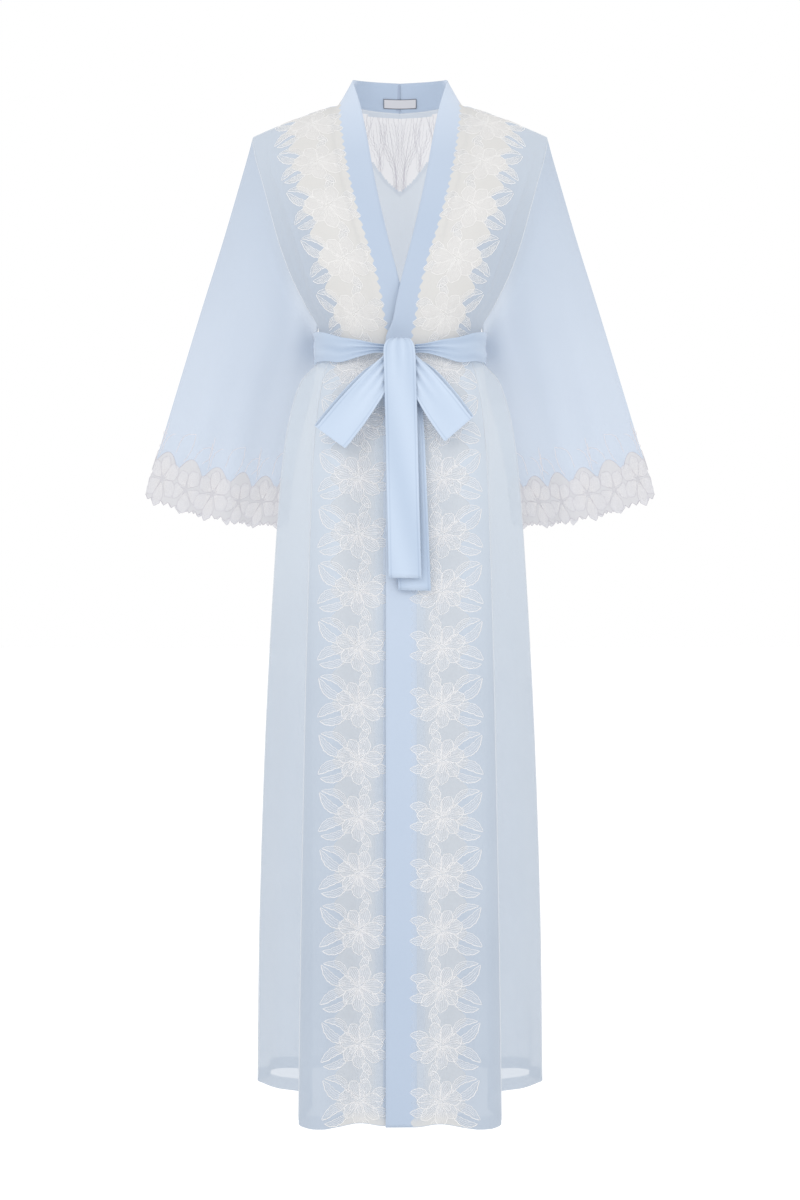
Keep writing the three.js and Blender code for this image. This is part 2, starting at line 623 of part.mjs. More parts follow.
// The yoke of lace over the upper back: its depth below the neck and shoulder seams, across half.
const YOKE_MARGIN = 40; // the outline passes this far above the seams
const YOKE = table(
  ["x", "depth"],
  [[150, 18], [137, 40], [120, 34], [100, 62], [84, 54], [62, 88], [45, 70], [24, 96], [0, 116]],
);
function backLace() {
  const last = BACK_COLUMNS - 1;
  const topAt = (x) => {
    const c = span(1, CENTRE_COLUMN).find((k) => back[TOP][k].x <= x);
    const [a, b] = [back[TOP][c - 1], back[TOP][c]];
    return mix(a.z, b.z, (x - a.x) / (b.x - a.x));
  };
  const lower = YOKE.map(({ x, depth }) => point(x, 0, topAt(x) - depth));
  const upper = point(YOKE[0].x, 0, topAt(0) + YOKE_MARGIN);
  const half = [upper, ...lower];
  const outline = [...half, ...half.slice(0, -1).reverse().map((p) => point(-p.x, 0, p.z))];
  const rows = [back, backNormals].map((g) => columnsOf(g, 1, last - 1).slice(UNDERARM + 2));
  return fromSolid(slab(...rows, LACE).intersect(prism(outline)));
}

// The lace round a cuff: pointed scallops below the sleeve's edge and sprays up over its cloth, in
// shares of the sleeve's length at even places from its outer line to its inner fold.
const CUFF_MARGIN = 12; // the outline passes this far beyond both folds
const CUFF_EDGE = [
  ...[1.02, 1.005, 1.03, 1.008, 1.026, 1.004, 1.03, 1.01, 1.024],
  ...[1.004, 1.032, 1.006, 1.024, 1.004, 1.03, 1.012, 1.02],
];
const CUFF_SPRAYS = [0.85, 0.82, 0.87, 0.8, 0.86, 0.83, 0.88, 0.81, 0.86, 0.82, 0.87, 0.84];
function cuffLace({ grid, normals }) {
  const from = SLEEVE_ROWS.findIndex((share) => share > Math.min(...CUFF_SPRAYS)) - 1;
  const rowFor = (share) => {
    const i = clamp(SLEEVE_ROWS.findIndex((s) => s >= share) - 1, 0, SLEEVE_ROWS.length - 2);
    return i + (share - SLEEVE_ROWS[i]) / (SLEEVE_ROWS[i + 1] - SLEEVE_ROWS[i]);
  };
  const edge = (shares) => {
    const across = shares.map((share, i) => read(grid, rowFor(share), (RING_HALF * i) / (shares.length - 1)));
    const past = (end, next) => end.clone().add(end.clone().sub(next).setLength(CUFF_MARGIN));
    return [past(across[0], across[1]), ...across, past(across.at(-1), across.at(-2))];
  };
  const outline = [...edge(CUFF_EDGE), ...edge(CUFF_SPRAYS).reverse()];
  const sheet = slab(grid.slice(from), normals.slice(from), LACE, true);
  return fromSolid(sheet.intersect(prism(outline)));
}

// ---- The sash ----
// Half of the sash's outside round the waist, from the centre front to the centre back.
const WAIST = table(
  ["x", "y"],
  [
    [0, -106],
    [22, -105.5],
    [40, -103.5],
    [60, -99],
    [79, -90],
    [94, -76.5],
    [106, -60],
    [115, -38],
    [121, -17],
    [124.5, 2],
    [124, 24],
    [117, 44],
    [104, 62],
    [87, 76],
    [66, 87],
    [36, 94],
    [0, 95.5],
  ],
);
const STRAP_START = 0.95; // the strap comes out of the knot at this row of the table
const STRAP_STEPS = 40;
const STRAP_ACROSS = 4; // steps across the strap, for its gathers at the knot
// In front the strap sinks and narrows towards the knot: its middle and its width at each distance
// from the centre line.
const STRAP_FRONT = table(
  ["x", "middle", "width"],
  [[21, 1070, 11], [36, 1071, 13], [60, 1071, 24], [83, 1071, 34], [105, 1078, 39], [124, 1085, 43]],
);
const GATHER = { flat: 0.3, knot: 2.2, reach: 88 };
const KNOT = { x: 0, y: -114.5, z: 1066, halfWidth: 19, halfHeight: 14, halfDepth: 9 };

function strapAt(base) {
  if (base.y > 0) return { middle: WAIST_HEIGHT, width: SASH_WIDTH };
  const places = STRAP_FRONT.map((s) => s.x);
  const last = places.length - 1;
  const i = clamp(places.findIndex((x) => x >= Math.abs(base.x)) - 1, 0, last - 1);
  const t = i + (clamp(Math.abs(base.x), places[0], places[last]) - places[i]) / (places[i + 1] - places[i]);
  const at = through(STRAP_FRONT.map(({ middle, width }) => point(middle, width, 0)), t);
  return { middle: at.x, width: at.y };
}

function strap() {
  const halfway = WAIST.map(({ x, y }) => point(x, y, 0));
  const round = [...halfway, ...halfway.slice(1, -1).reverse().map((p) => point(-p.x, p.y, 0)), halfway[0]];
  const last = round.length - 1;
  const outer = span(0, STRAP_STEPS).map((i) => {
    const at = mix(STRAP_START, last - STRAP_START, i / STRAP_STEPS);
    const base = through(round, at);
    const along = through(round, at + 0.1).sub(through(round, at - 0.1));
    const out = point(along.y, -along.x, 0).normalize();
    const nearKnot = base.y > 0 ? 0 : 1 - smooth((Math.abs(base.x) - round[1].x) / GATHER.reach);
    const { middle, width } = strapAt(base);
    return span(0, STRAP_ACROSS).map((c) => {
      const gather = mix(GATHER.flat, GATHER.knot, nearKnot) * (0.5 + 0.5 * Math.cos(Math.PI * c));
      return base.clone().addScaledVector(out, gather).setZ(middle + width * (c / STRAP_ACROSS - 0.5));
    });
  });
  const normals = normalsOf(outer, { outward: (p) => point(p.x, p.y, 0) });
  return wall(outer, moved(outer, normals, -SASH_CLOTH));
}

// The knot: a puffed roll with creases across it.
const KNOT_PUFF = 0.75;
const KNOT_CREASE = { depth: 0.065, count: 5 };
function knot() {
  const ball = new THREE.SphereGeometry(1, 16, 10);
  const [at, index] = [ball.getAttribute("position"), ball.getIndex()];
  const puffed = (v) => Math.sign(v) * Math.abs(v) ** KNOT_PUFF;
  const corners = span(0, index.count - 1).map((i) => {
    const p = new THREE.Vector3().fromBufferAttribute(at, index.getX(i));
    const crease = 1 + KNOT_CREASE.depth * Math.cos(KNOT_CREASE.count * Math.PI * p.y) * (1 - p.y * p.y);
    return point(
      KNOT.x + KNOT.halfWidth * puffed(p.x) * crease,
      KNOT.y + KNOT.halfDepth * puffed(p.z) * crease,
      KNOT.z + KNOT.halfHeight * p.y,
    );
  });
  return solidFrom(corners);
}

// The points of a strip of the sash: its middle runs through the rows of a path, and each row says how
// wide the strip is there and how far its width leans out of the level.
function strip(path, stepsBetween, across) {
  const middle = path.map((s) => point(s.x, s.y, s.z));
  const widths = path.map((s) => point(s.width, s.lean, 0));
  return stops(Array(path.length - 1).fill(stepsBetween)).map((t) => {
    const { x: width, y: lean } = through(widths, t);
    const sideways = point(Math.cos(lean), 0, Math.sin(lean));
    const offsets = span(0, across).map((c) => (c / across - 0.5) * width);
    return offsets.map((offset) => through(middle, t).addScaledVector(sideways, offset));
  });
}

const STRIP_COLUMNS = ["x", "y", "z", "width", "lean"];
const degrees = THREE.MathUtils.degToRad;
// The front tail comes over the top of the knot and hangs to its end; the other hangs behind it.
const TAIL_FRONT = table(STRIP_COLUMNS, [
  [-1, -119, 1082, 18, 0],
  [-1, -125.5, 1078, 33, 0],
  [-1, -129, 1067, 42, 0],
  [0, -131.5, 1040, 43, 0],
  [2, -134, 960, 43, degrees(-1)],
  [4, -138, 870, 43, degrees(-1)],
  [7, -144, 750, 44, degrees(-1)],
]);
const TAIL_BACK = table(STRIP_COLUMNS, [
  [4, -110.5, 1047, 30, 0],
  [6, -114, 1020, 40, 0],
  [11, -123, 960, 43, degrees(-1)],
  [15, -130, 870, 43, degrees(-1)],
  [20, -137, 733, 44, degrees(-1)],
]);
// One loop of the bow: out from the knot along its front, round its fold and back behind. The share is
// of the way out, and the depth is of the loop's own, with its front at -0.5.
const LOOP_WIDTH = 47;
const LOOP_DEPTH = 9;
const LOOP_PATH = table(
  ["share", "depth", "width"],
  [
    [0, -0.4, 25],
    [0.3, -0.5, 37],
    [0.65, -0.5, 45],
    [0.97, -0.4, LOOP_WIDTH],
    [1, 0, LOOP_WIDTH],
    [0.97, 0.4, LOOP_WIDTH],
    [0.65, 0.5, 45],
    [0.3, 0.5, 37],
    [0.06, 0.4, 26],
  ],
);
const LOOP_ROOT = { x: 13, y: -121, z: 1048, lean: degrees(54), reach: 0.35 };
const LOOP_TIPS = {
  left: { x: 79, y: -131, z: 955, lean: degrees(41) },
  right: { x: -94, y: -131, z: 944, lean: degrees(-36) },
};

function loop(tip) {
  const side = Math.sign(tip.x);
  const start = point(side * LOOP_ROOT.x, LOOP_ROOT.y, LOOP_ROOT.z);
  const path = LOOP_PATH.map(({ share, depth, width }) => {
    const { x, y, z } = start.clone().lerp(tip, share);
    const lean = mix(side * LOOP_ROOT.lean, tip.lean, smooth(share / LOOP_ROOT.reach));
    return { x, y: y + depth * LOOP_DEPTH, z, width, lean };
  });
  return strip(path, 2, 4);
}

// The wall of a strip with its thickness half on each side.
function stripWall(grid) {
  const normals = normalsOf(grid, { outward: () => point(0, -1, 0) });
  // Follow the strip round a fold: each row's normal keeps to the side of the row before it.
  for (let r = 1; r < grid.length; r += 1) {
    normals[r] = normals[r].map((n, c) => (n.dot(normals[r - 1][c]) < 0 ? n.negate() : n));
  }
  return wall(moved(grid, normals, SASH_CLOTH / 2), moved(grid, normals, -SASH_CLOTH / 2));
}

// ---- The neck label: a bare tag on the inside of the band, curved with it ----
const TAG = { width: 48, height: 13, thickness: 0.8, z: 1455.5, clear: 1, steps: 6 };
function tag() {
  const [side, centre] = NECK.slice(-2);
  const bend = (centre.edgeY - side.edgeY) / side.edgeX ** 2;
  const face = (depth) =>
    [-0.5, 0.5].map((end) =>
      span(0, TAG.steps).map((c) => {
        const z = TAG.z + TAG.height * end;
        const x = TAG.width * (c / TAG.steps - 0.5);
        const up = (z - centre.seamZ) / (centre.edgeZ - centre.seamZ);
        return point(x, mix(centre.seamY, centre.edgeY, up) - bend * x * x - CLOTH - TAG.clear - depth, z);
      }),
    );
  return wall(face(0), face(TAG.thickness));
}

// ---- The robe ----
const robe = new THREE.Group();
function add(name, geometry, colour, roughness) {
  const material = new THREE.MeshStandardMaterial({ color: colour, roughness, metalness: 0 });
  const mesh = new THREE.Mesh(geometry, material);
  mesh.name = name;
  robe.add(mesh);
}

const leftSleeve = sleeve(armhole(left, leftNormals, 0, 1), 1);
const rightSleeve = sleeve(armhole(right, rightNormals, BACK_COLUMNS - 1, -1), -1);

add("front_left", frontPanel(left, leftNormals), COLOURS.cloth, 0.7);
add("front_right", frontPanel(right, rightNormals), COLOURS.cloth, 0.7);
add("back", backPanel(), COLOURS.cloth, 0.7);
add("band_left", band(bandGrid(left, 1)), COLOURS.band, 0.5);
add("band_right", band(bandGrid(right, -1)), COLOURS.band, 0.5);
add("sleeve_left", leftSleeve.geometry, COLOURS.cloth, 0.7);
add("sleeve_right", rightSleeve.geometry, COLOURS.cloth, 0.7);
add("lace_front_left", frontLace(left, leftNormals), COLOURS.lace, 0.85);
add("lace_front_right", frontLace(right, rightNormals), COLOURS.lace, 0.85);
add("lace_yoke", backLace(), COLOURS.lace, 0.85);
add("lace_cuff_left", cuffLace(leftSleeve), COLOURS.lace, 0.85);
add("lace_cuff_right", cuffLace(rightSleeve), COLOURS.lace, 0.85);
add("sash_waist", strap(), COLOURS.sash, 0.5);
add("sash_knot", knot(), COLOURS.sash, 0.5);
add("sash_tail_front", stripWall(strip(TAIL_FRONT, 2, 2)), COLOURS.sash, 0.5);
add("sash_tail_back", stripWall(strip(TAIL_BACK, 2, 2)), COLOURS.sash, 0.5);
add("sash_loop_left", stripWall(loop(LOOP_TIPS.left)), COLOURS.sash, 0.5);
add("sash_loop_right", stripWall(loop(LOOP_TIPS.right)), COLOURS.sash, 0.5);
add("neck_tag", tag(), COLOURS.tag, 0.8);

export default robe;
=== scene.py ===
"""A long wrap robe of sheer cloth, filled out with no wearer, with corded flower lace and a tied sash.

Tables are in millimetres, with heights above the hem. Meshes are made in metres, in the row's frame.
"""

import bpy
import numpy as np
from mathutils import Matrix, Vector
from mathutils.geometry import delaunay_2d_cdt


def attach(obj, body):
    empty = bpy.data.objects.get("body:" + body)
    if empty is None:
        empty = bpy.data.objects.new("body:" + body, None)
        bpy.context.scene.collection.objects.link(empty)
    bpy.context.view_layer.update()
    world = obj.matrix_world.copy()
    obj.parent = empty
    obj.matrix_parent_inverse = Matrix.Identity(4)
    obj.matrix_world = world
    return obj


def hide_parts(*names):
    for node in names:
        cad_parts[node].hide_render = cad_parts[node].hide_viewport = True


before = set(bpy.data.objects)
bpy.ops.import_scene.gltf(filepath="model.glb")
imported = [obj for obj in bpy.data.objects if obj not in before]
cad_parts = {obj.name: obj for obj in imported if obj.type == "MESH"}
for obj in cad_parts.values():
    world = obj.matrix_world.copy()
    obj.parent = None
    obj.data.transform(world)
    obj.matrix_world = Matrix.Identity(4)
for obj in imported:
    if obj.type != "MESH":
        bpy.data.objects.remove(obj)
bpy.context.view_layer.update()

# ---- Sizes ----
HOLD_HEIGHT = 1440
SHOULDER_Y = 8
SHOULDER_START = 1380  # above this the cloth turns to face upwards
BAND_X = 23
OVERLAP_X = 19
UNDERLAP = 5.5
REPEAT = 78
WAIST_HEIGHT = 1085
SASH_WIDTH = 43

# Half of the front's section: height, band y, then x and y of six places out to the side seam.
FRONT_SKIRT = [
    [0, -152, 58, -138, 106, -163, 139, -138, 127, -70, 136, 15, 182, 46, 211, 82],
    [250, -148, 57, -137, 103, -157, 136, -132, 126, -70, 135, 6, 178, 38, 208, 70],
    [500, -140, 55, -132, 99, -146, 132, -121, 125, -68, 134, -8, 171, 24, 199, 52],
    [700, -131, 53, -125, 95, -133, 128, -108, 124, -65, 133, -18, 163, 13, 188, 38],
    [870, -122, 50, -117, 90, -119, 123, -94, 124, -60, 133, -26, 154, 2, 176, 25],
    [950, -116, 48, -112, 87, -110, 119, -84, 125, -55, 134, -27, 150, -3, 167, 18],
    [1003, -109, 46, -106, 83, -100, 114, -74, 124, -50, 132, -28, 144, -7, 156, 13],
    [1040, -101, 44, -98, 78, -87, 107, -62, 119, -45, 127, -27, 134, -9, 142, 9],
    [1064, -96, 42, -93, 75, -81, 99, -56, 108, -41, 113, -26, 117, -10, 120, 6],
    [1088, -94, 41, -91, 73, -79, 95, -55, 104, -41, 110, -26, 114, -10, 117, 6],
]
# Half of the back's section at the same heights: three places and the centre back.
BACK_SKIRT = [
    [203, 120, 164, 160, 90, 183, 188],
    [200, 109, 160, 150, 88, 173, 178],
    [191, 92, 152, 136, 85, 158, 163],
    [181, 77, 144, 122, 80, 144, 149],
    [170, 62, 136, 106, 76, 129, 134],
    [162, 54, 129, 96, 73, 119, 124],
    [152, 47, 120, 86, 69, 108, 113],
    [139, 41, 109, 77, 63, 98, 102],
    [118, 34, 95, 67, 56, 87, 91],
    [115, 33, 92, 65, 54, 85, 89],
]
# The free edge, the band seam, mid chest and the armhole, from the underarm to the shoulder seam.
FRONT_BODICE = [
    [(-10, -101, 1109), (28, -98, 1116), (87, -70, 1116), (119, 8, 1116)],
    [(-4, -110, 1138), (33, -106, 1150), (95, -90, 1148), (137, -36, 1146)],
    [(4, -119, 1172), (42, -113, 1190), (103, -105, 1187), (155, -52, 1182)],
    [(15, -120, 1214), (56, -113, 1235), (114, -112, 1231), (171, -57, 1226)],
    [(27, -109, 1266), (70, -101, 1285), (126, -103, 1280), (184, -52, 1272)],
    [(38, -88, 1321), (81, -76, 1335), (139, -80, 1328), (196, -40, 1316)],
    [(47, -62, 1375), (88, -46, 1383), (149, -50, 1372), (206, -23, 1350)],
    [(57, -36, 1426), (92, -17, 1420), (153, -19, 1407), (212, -4, 1377)],
    [(69, -10, 1469), (89, 8, 1440), (152, 8, 1418), (214, 8, 1392)],
]
# Armhole, three places across and the centre back.
BACK_BODICE = [
    [119, 8, 1116, 117, 35, 93, 68, 54, 87, 92, 1116],
    [138, 42, 1146, 123, 66, 97, 86, 54, 98, 101, 1148],
    [156, 58, 1182, 136, 82, 102, 100, 54, 107, 108, 1184],
    [172, 64, 1226, 149, 90, 107, 108, 54, 114, 113, 1230],
    [185, 62, 1272, 157, 90, 110, 109, 55, 115, 113, 1280],
    [197, 53, 1316, 162, 81, 112, 103, 56, 111, 109, 1328],
    [206, 38, 1350, 164, 65, 112, 89, 57, 101, 101, 1375],
    [212, 21, 1377, 162, 36, 110, 58, 56, 85, 86, 1415],
]
# The band round the back of the neck: its free edge and its seam.
NECK = [
    [(68, 8, 1476), (85, 27, 1444)],
    [(58, 31, 1481), (67, 47, 1447)],
    [(35, 49, 1484), (38, 62, 1446)],
    [(0, 56, 1484), (0, 68, 1444)],
]
# The sleeve's outer line and inner fold at shares of its length.
SLEEVE = [
    [0, (214, 8, 1392), (119, 8, 1116)],
    [0.06, (222.5, 9, 1361), (123, 46, 1104)],
    [0.15, (236, 10, 1315), (123, 63, 1079)],
    [0.3, (259, 12, 1238), (130, 74, 1032)],
    [0.5, (291, 14, 1137), (146, 80, 972)],
    [0.75, (330, 15, 1009), (160, 84, 902)],
    [1, (369, 16, 880), (169, 84, 830)],
]
BODICE_SHARES = [0, 0.1, 0.33, 0.57, 0.68, 0.78, 0.89, 1]


# ---- Curves and grids ----
def smooth(t):
    s = np.clip(t, 0, 1)
    return s * s * (3 - 2 * s)


def through(points, t):
    """A smooth curve through points (or rows of points), at t counted from the first."""
    points, t = np.asarray(points, float), np.asarray(t, float)
    last = len(points) - 1
    i = np.clip(np.floor(t).astype(int), 0, last - 1)
    f = (t - i).reshape(t.shape + (1,) * (points.ndim - 1))
    ends = np.concatenate([[2 * points[0] - points[1]], points, [2 * points[-1] - points[-2]]])
    p, q, r, s = (ends[i + k] for k in range(4))
    return 0.5 * (2 * q + (r - p) * f + (2 * p - 5 * q + 4 * r - s) * f**2 + (3 * q - p - 3 * r + s) * f**3)


def stops(steps):
    found = [0.0]
    for i, count in enumerate(steps):
        found += [i + k / count for k in range(1, count + 1)]
    return np.array(found)


def over(rails, row_stops, column_stops):
    across = np.stack([through(rail, column_stops) for rail in rails])
    return through(across, row_stops)


def run_of(line):
    """Distances along a line of points."""
    return np.concatenate([[0], np.cumsum(np.linalg.norm(np.diff(line, axis=0), axis=-1))])


def across_of(grid):
    """Distances along each row of a grid."""
    steps = np.linalg.norm(np.diff(grid, axis=1), axis=-1)
    return np.concatenate([np.zeros((len(grid), 1)), np.cumsum(steps, axis=1)], axis=1)


def unit(v):
    return v / np.maximum(np.linalg.norm(v, axis=-1, keepdims=True), 1e-9)


def normals_of(grid, outward, closed=False):
    """Normals of a grid of points, turned towards outward, which is a field of the grid's own size."""
    if closed:
        across = np.roll(grid, -1, axis=1) - np.roll(grid, 1, axis=1)
    else:
        across = np.gradient(grid, axis=1)
    normals = unit(np.cross(across, np.gradient(grid, axis=0)))
    side = np.sign((normals * outward).sum(-1, keepdims=True))
    return normals * np.where(side == 0, 1, side)


def mirrored(grid):
    return grid * [-1, 1, 1]


# ---- Meshes ----
def in_scene(name, data):
    made = bpy.data.objects.new(name, data)
    bpy.context.scene.collection.objects.link(made)
    return made


def mesh_piece(name, points, faces, uv=None, layers=None):
    """A mesh object from points in millimetres above the hem. layers are named values per point."""
    mesh = bpy.data.meshes.new(name)
    co = (np.asarray(points, float) - [0, 0, HOLD_HEIGHT]) / 1000
    mesh.from_pydata(co.tolist(), [], [tuple(f) for f in faces])
    mesh.polygons.foreach_set("use_smooth", np.ones(len(mesh.polygons), bool))
    loops = np.zeros(len(mesh.loops), np.int32)
    mesh.loops.foreach_get("vertex_index", loops)
    if uv is not None:
        layer = mesh.uv_layers.new(name="UVMap")
        layer.data.foreach_set("uv", np.asarray(uv, np.float32)[loops].ravel())
    for key, values in (layers or {}).items():
        attribute = mesh.attributes.new(key, "FLOAT", "POINT")
        attribute.data.foreach_set("value", np.asarray(values, np.float32).ravel())
    mesh.update()
    return in_scene(name, mesh)


def grid_faces(rows, columns, closed=False):
    r, c = np.meshgrid(np.arange(rows - 1), np.arange(columns if closed else columns - 1), indexing="ij")
    n = (c + 1) % columns
    quads = np.stack([r * columns + c, r * columns + n, (r + 1) * columns + n, (r + 1) * columns + c], -1)
    return quads.reshape(-1, 4).tolist()


def compacted(faces, count):
    """Which of a count of points faces use, and the faces renumbered to those points alone."""
    used = np.unique(faces)
    new = np.full(count, -1)
    new[used] = np.arange(len(used))
    return used, new[faces]


def lengths(grid):
    """Distances along the middle row and up each column of a grid, in metres."""
    across = across_of(grid)
    up = across_of(np.swapaxes(grid, 0, 1)).T
    return np.stack([np.broadcast_to(across[len(grid) // 2], across.shape), up], -1) / 1000


def sheet_piece(name, grid, layers=None, keep=None):
    """A sheet of cloth over a grid of points; keep says which points stay."""
    faces = grid_faces(*grid.shape[:2])
    points, uv = grid.reshape(-1, 3), lengths(grid).reshape(-1, 2)
    layers = {k: np.asarray(v).reshape(-1) for k, v in (layers or {}).items()}
    if keep is not None:
        faces = np.array(faces)
        used, faces = compacted(faces[keep.reshape(-1)[faces].all(1)], len(points))
        faces, points, uv = faces.tolist(), points[used], uv[used]
        layers = {k: v[used] for k, v in layers.items()}
    return mesh_piece(name, points, faces, uv, layers)


def folded_piece(name, grid, normals, thickness, layers=None):
    """A pressed, doubled strip: both faces of a grid, joined round its long edges, with closed ends."""
    half = thickness / 2
    outward = unit(grid[:, 1:2] - grid[:, :1]), unit(grid[:, -1:] - grid[:, -2:-1])
    front, behind = grid + normals * half, grid - normals * half
    first, last = grid[:, :1] - outward[0] * half, grid[:, -1:] + outward[1] * half
    ring = np.concatenate([first, front, last, behind[:, ::-1]], axis=1)
    rows, columns = ring.shape[:2]
    faces = grid_faces(rows, columns, closed=True)
    count = grid.shape[1]
    for row, turn in ((0, 1), (rows - 1, -1)):
        base = row * columns
        ahead = [base + 1 + k for k in range(count)]
        back = [base + columns - 1 - k for k in range(count)]
        faces += [(ahead[k], back[k], back[k + 1], ahead[k + 1])[::turn] for k in range(count - 1)]
        faces += [(base, back[0], ahead[0])[::turn], (ahead[-1], back[-1], base + 1 + count)[::turn]]
    round_ring = lambda v: np.concatenate([v[:, :1], v, v[:, -1:], v[:, ::-1]], axis=1)
    layers = {k: round_ring(v).reshape(-1) for k, v in (layers or {}).items()}
    return mesh_piece(name, ring.reshape(-1, 3), faces, round_ring(lengths(grid)).reshape(-1, 2), layers)


def tube(points, normals, radius, sides):
    """A tapering round cord along points that lie on a surface with normals."""
    along = unit(np.gradient(points, axis=0))
    across = unit(np.cross(normals, along))
    up = np.cross(along, across)
    size = np.full(len(points), radius)
    size[0] = size[-1] = radius * 0.3
    angles = np.arange(sides) * 2 * np.pi / sides + np.pi / 4
    ring = points[:, None] + size[:, None, None] * (
        np.cos(angles)[None, :, None] * across[:, None] + np.sin(angles)[None, :, None] * up[:, None]
    )
    return ring.reshape(-1, 3), grid_faces(len(points), sides, closed=True)


# ---- Materials ----
def linear(colour):
    v = np.array(colour) / 255
    return tuple(np.where(v <= 0.04045, v / 12.92, ((v + 0.055) / 1.055) ** 2.4).tolist())


def material(name, light, dark, roughness, sheen=0.0, alpha=(1, 1), weave=None, bump=0.1, soft=0.02, drift=0.3):
    """Cloth between two sRGB tones, placed by the mesh's tone layer (painted shade and light on cloth) and a slow
    drift, with fine threads.

    weave is (threads across, threads along) per metre. alpha is that of the sparsest and densest places.
    """
    made = bpy.data.materials.new(name)
    made.use_nodes = True
    nodes, links = made.node_tree.nodes, made.node_tree.links
    shader = nodes["Principled BSDF"]
    shader.inputs["Roughness"].default_value = roughness
    shader.inputs["Specular IOR Level"].default_value = 0.2
    shader.inputs["Sheen Weight"].default_value = sheen
    shader.inputs["Sheen Roughness"].default_value = 0.5

    def node(kind, inputs, **settings):
        found = nodes.new("ShaderNode" + kind)
        for key, setting in settings.items():
            setattr(found, key, setting)
        for key, given in inputs.items():
            if isinstance(given, bpy.types.NodeSocket):
                links.new(given, found.inputs[key])
            else:
                found.inputs[key].default_value = given
        return found.outputs

    ranged = lambda source, low, high: node("MapRange", {"Value": source, "To Min": low, "To Max": high})["Result"]
    added = lambda a, b: node("Math", {0: a, 1: b}, operation="ADD")[0]
    value_of = lambda layer: node("Attribute", {}, attribute_name=layer)["Fac"]
    if alpha[0] == alpha[1]:
        shader.inputs["Alpha"].default_value = alpha[0]
    else:
        links.new(ranged(value_of("dense"), *alpha), shader.inputs["Alpha"])
    uv = node("UVMap", {}, uv_map="UVMap")["UV"]
    place = node("TexCoord", {})["Object"]
    slow = node("TexNoise", {"Scale": 7, "Detail": 2, "Vector": place})["Fac"]
    # the mesh's tone layer is painted shade and painted light on the cloth, band, sleeves and sash, and the own colour
    # of the lace and label
    share = added(value_of("tone_and_shade"), ranged(slow, -drift / 2, drift / 2))
    tones = node("Mix", {0: share, 6: (*linear(light), 1), 7: (*linear(dark), 1)}, data_type="RGBA")[2]
    waves = {"Distortion": 0.6, "Detail": 1, "Detail Scale": 0.4, "Vector": uv}
    heights = added(*(
        node("TexWave", {"Scale": count * np.pi / 10, **waves}, bands_direction=axis)["Fac"]
        for axis, count in zip("XY", weave)
    ))
    lit = node("Mix", {0: 1, 6: tones, 7: ranged(heights, 1 - soft, 1)}, data_type="RGBA", blend_type="MULTIPLY")[2]
    links.new(lit, shader.inputs["Base Color"])
    bumps = node("Bump", {"Strength": bump, "Distance": 0.0001, "Height": heights})["Normal"]
    links.new(bumps, shader.inputs["Normal"])
    return made


SHEER = dict(roughness=0.8, sheen=0.1, weave=(2600, 2400))
CHIFFON = material("sheer_cloth", (197, 206, 216), (164, 175, 190), alpha=(0.7, 0.93), **SHEER)
SLEEVING = material("sleeve_cloth", (190, 200, 214), (172, 184, 200), alpha=(0.78, 0.78), **SHEER)
HEM = material("doubled_hem", (167, 177, 190), (159, 169, 182), alpha=(0.8, 0.8), **SHEER)
SATIN = dict(roughness=0.5, sheen=0.2, weave=(1700, 1500), drift=0.2)
BAND = material("band_cloth", (194, 205, 220), (169, 183, 202), **SATIN)
SASH = material("sash_cloth", (189, 203, 221), (166, 182, 203), **SATIN)


def lace_look(name, light, dark, alpha=(1, 1), threads=900, soft=0.1, roughness=0.8, sheen=0):
    return material(name, light, dark, roughness, sheen, alpha, (threads, threads), soft=soft)


NET = lace_look("lace_net", (206, 205, 203), (191, 195, 200), (0.05, 0.98), 1100, 0.12, 0.85)
PETALS = lace_look("lace_petals", (208, 207, 206), (199, 202, 207), (0.06, 0.98))
THREAD = lace_look("lace_cord", (235, 234, 233), (230, 230, 232), roughness=0.7, sheen=0.1)
STITCH = lace_look("lace_stitches", (226, 225, 224), (222, 223, 227))
CUFF_NET = lace_look("cuff_net", (203, 203, 206), (196, 197, 202), (0.5, 0.98), 1100, 0.12, 0.85)
CUFF_PETALS = lace_look("cuff_petals", (206, 206, 210), (198, 199, 205), (0.1, 0.98))
CUFF_STITCH = lace_look("cuff_stitches", (224, 223, 225), (218, 217, 220))
# The cuff's outline cords are greyer than the front's cords: partly the thread's own grey, partly painted shade along
# the raised outlines.
CUFF_CORD = lace_look("cuff_cord", (194, 191, 198), (186, 183, 191))
SPRAY = lace_look("cuff_sprays", (224, 217, 218), (216, 212, 217))
YOKE_NET = lace_look("yoke_net", (216, 215, 218), (206, 206, 210), (0.72, 0.72), 1100, 0.08, 0.85)
YOKE_STITCH = lace_look("yoke_stitch", (204, 202, 209), (196, 194, 202), (0.55, 0.55), soft=0.08, roughness=0.85)
YOKE_CORD = lace_look("yoke_cord", (200, 198, 203), (192, 190, 196), (0.75, 0.75))
SEAM_SHADE = material("band_seam", (158, 170, 190), (148, 161, 181), 0.6, 0.1, weave=(1700, 1500), drift=0.2)
SEAM = material("seam_edge", (204, 210, 217), (188, 197, 208), 0.8, 0, (0.85, 0.85), (900, 900), soft=0.1)
TAG = material("label_cloth", (196, 196, 201), (78, 78, 88), 0.7, weave=(2000, 2000), drift=0.05)


def dress(piece, look, slot, node, **sheet):
    piece.data.materials.append(look)
    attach(piece, "root")
    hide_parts(node)
    return piece


def airy(piece):
    """Sheer cloth and fine net let the light through to what lies under them."""
    piece.visible_shadow = piece.visible_diffuse = False
    return piece


def shade_by_height(heights, table):
    """A painted shade for each height, read from a table of (height, shade)."""
    return np.interp(heights, [h for h, _ in table], [t for _, t in table])


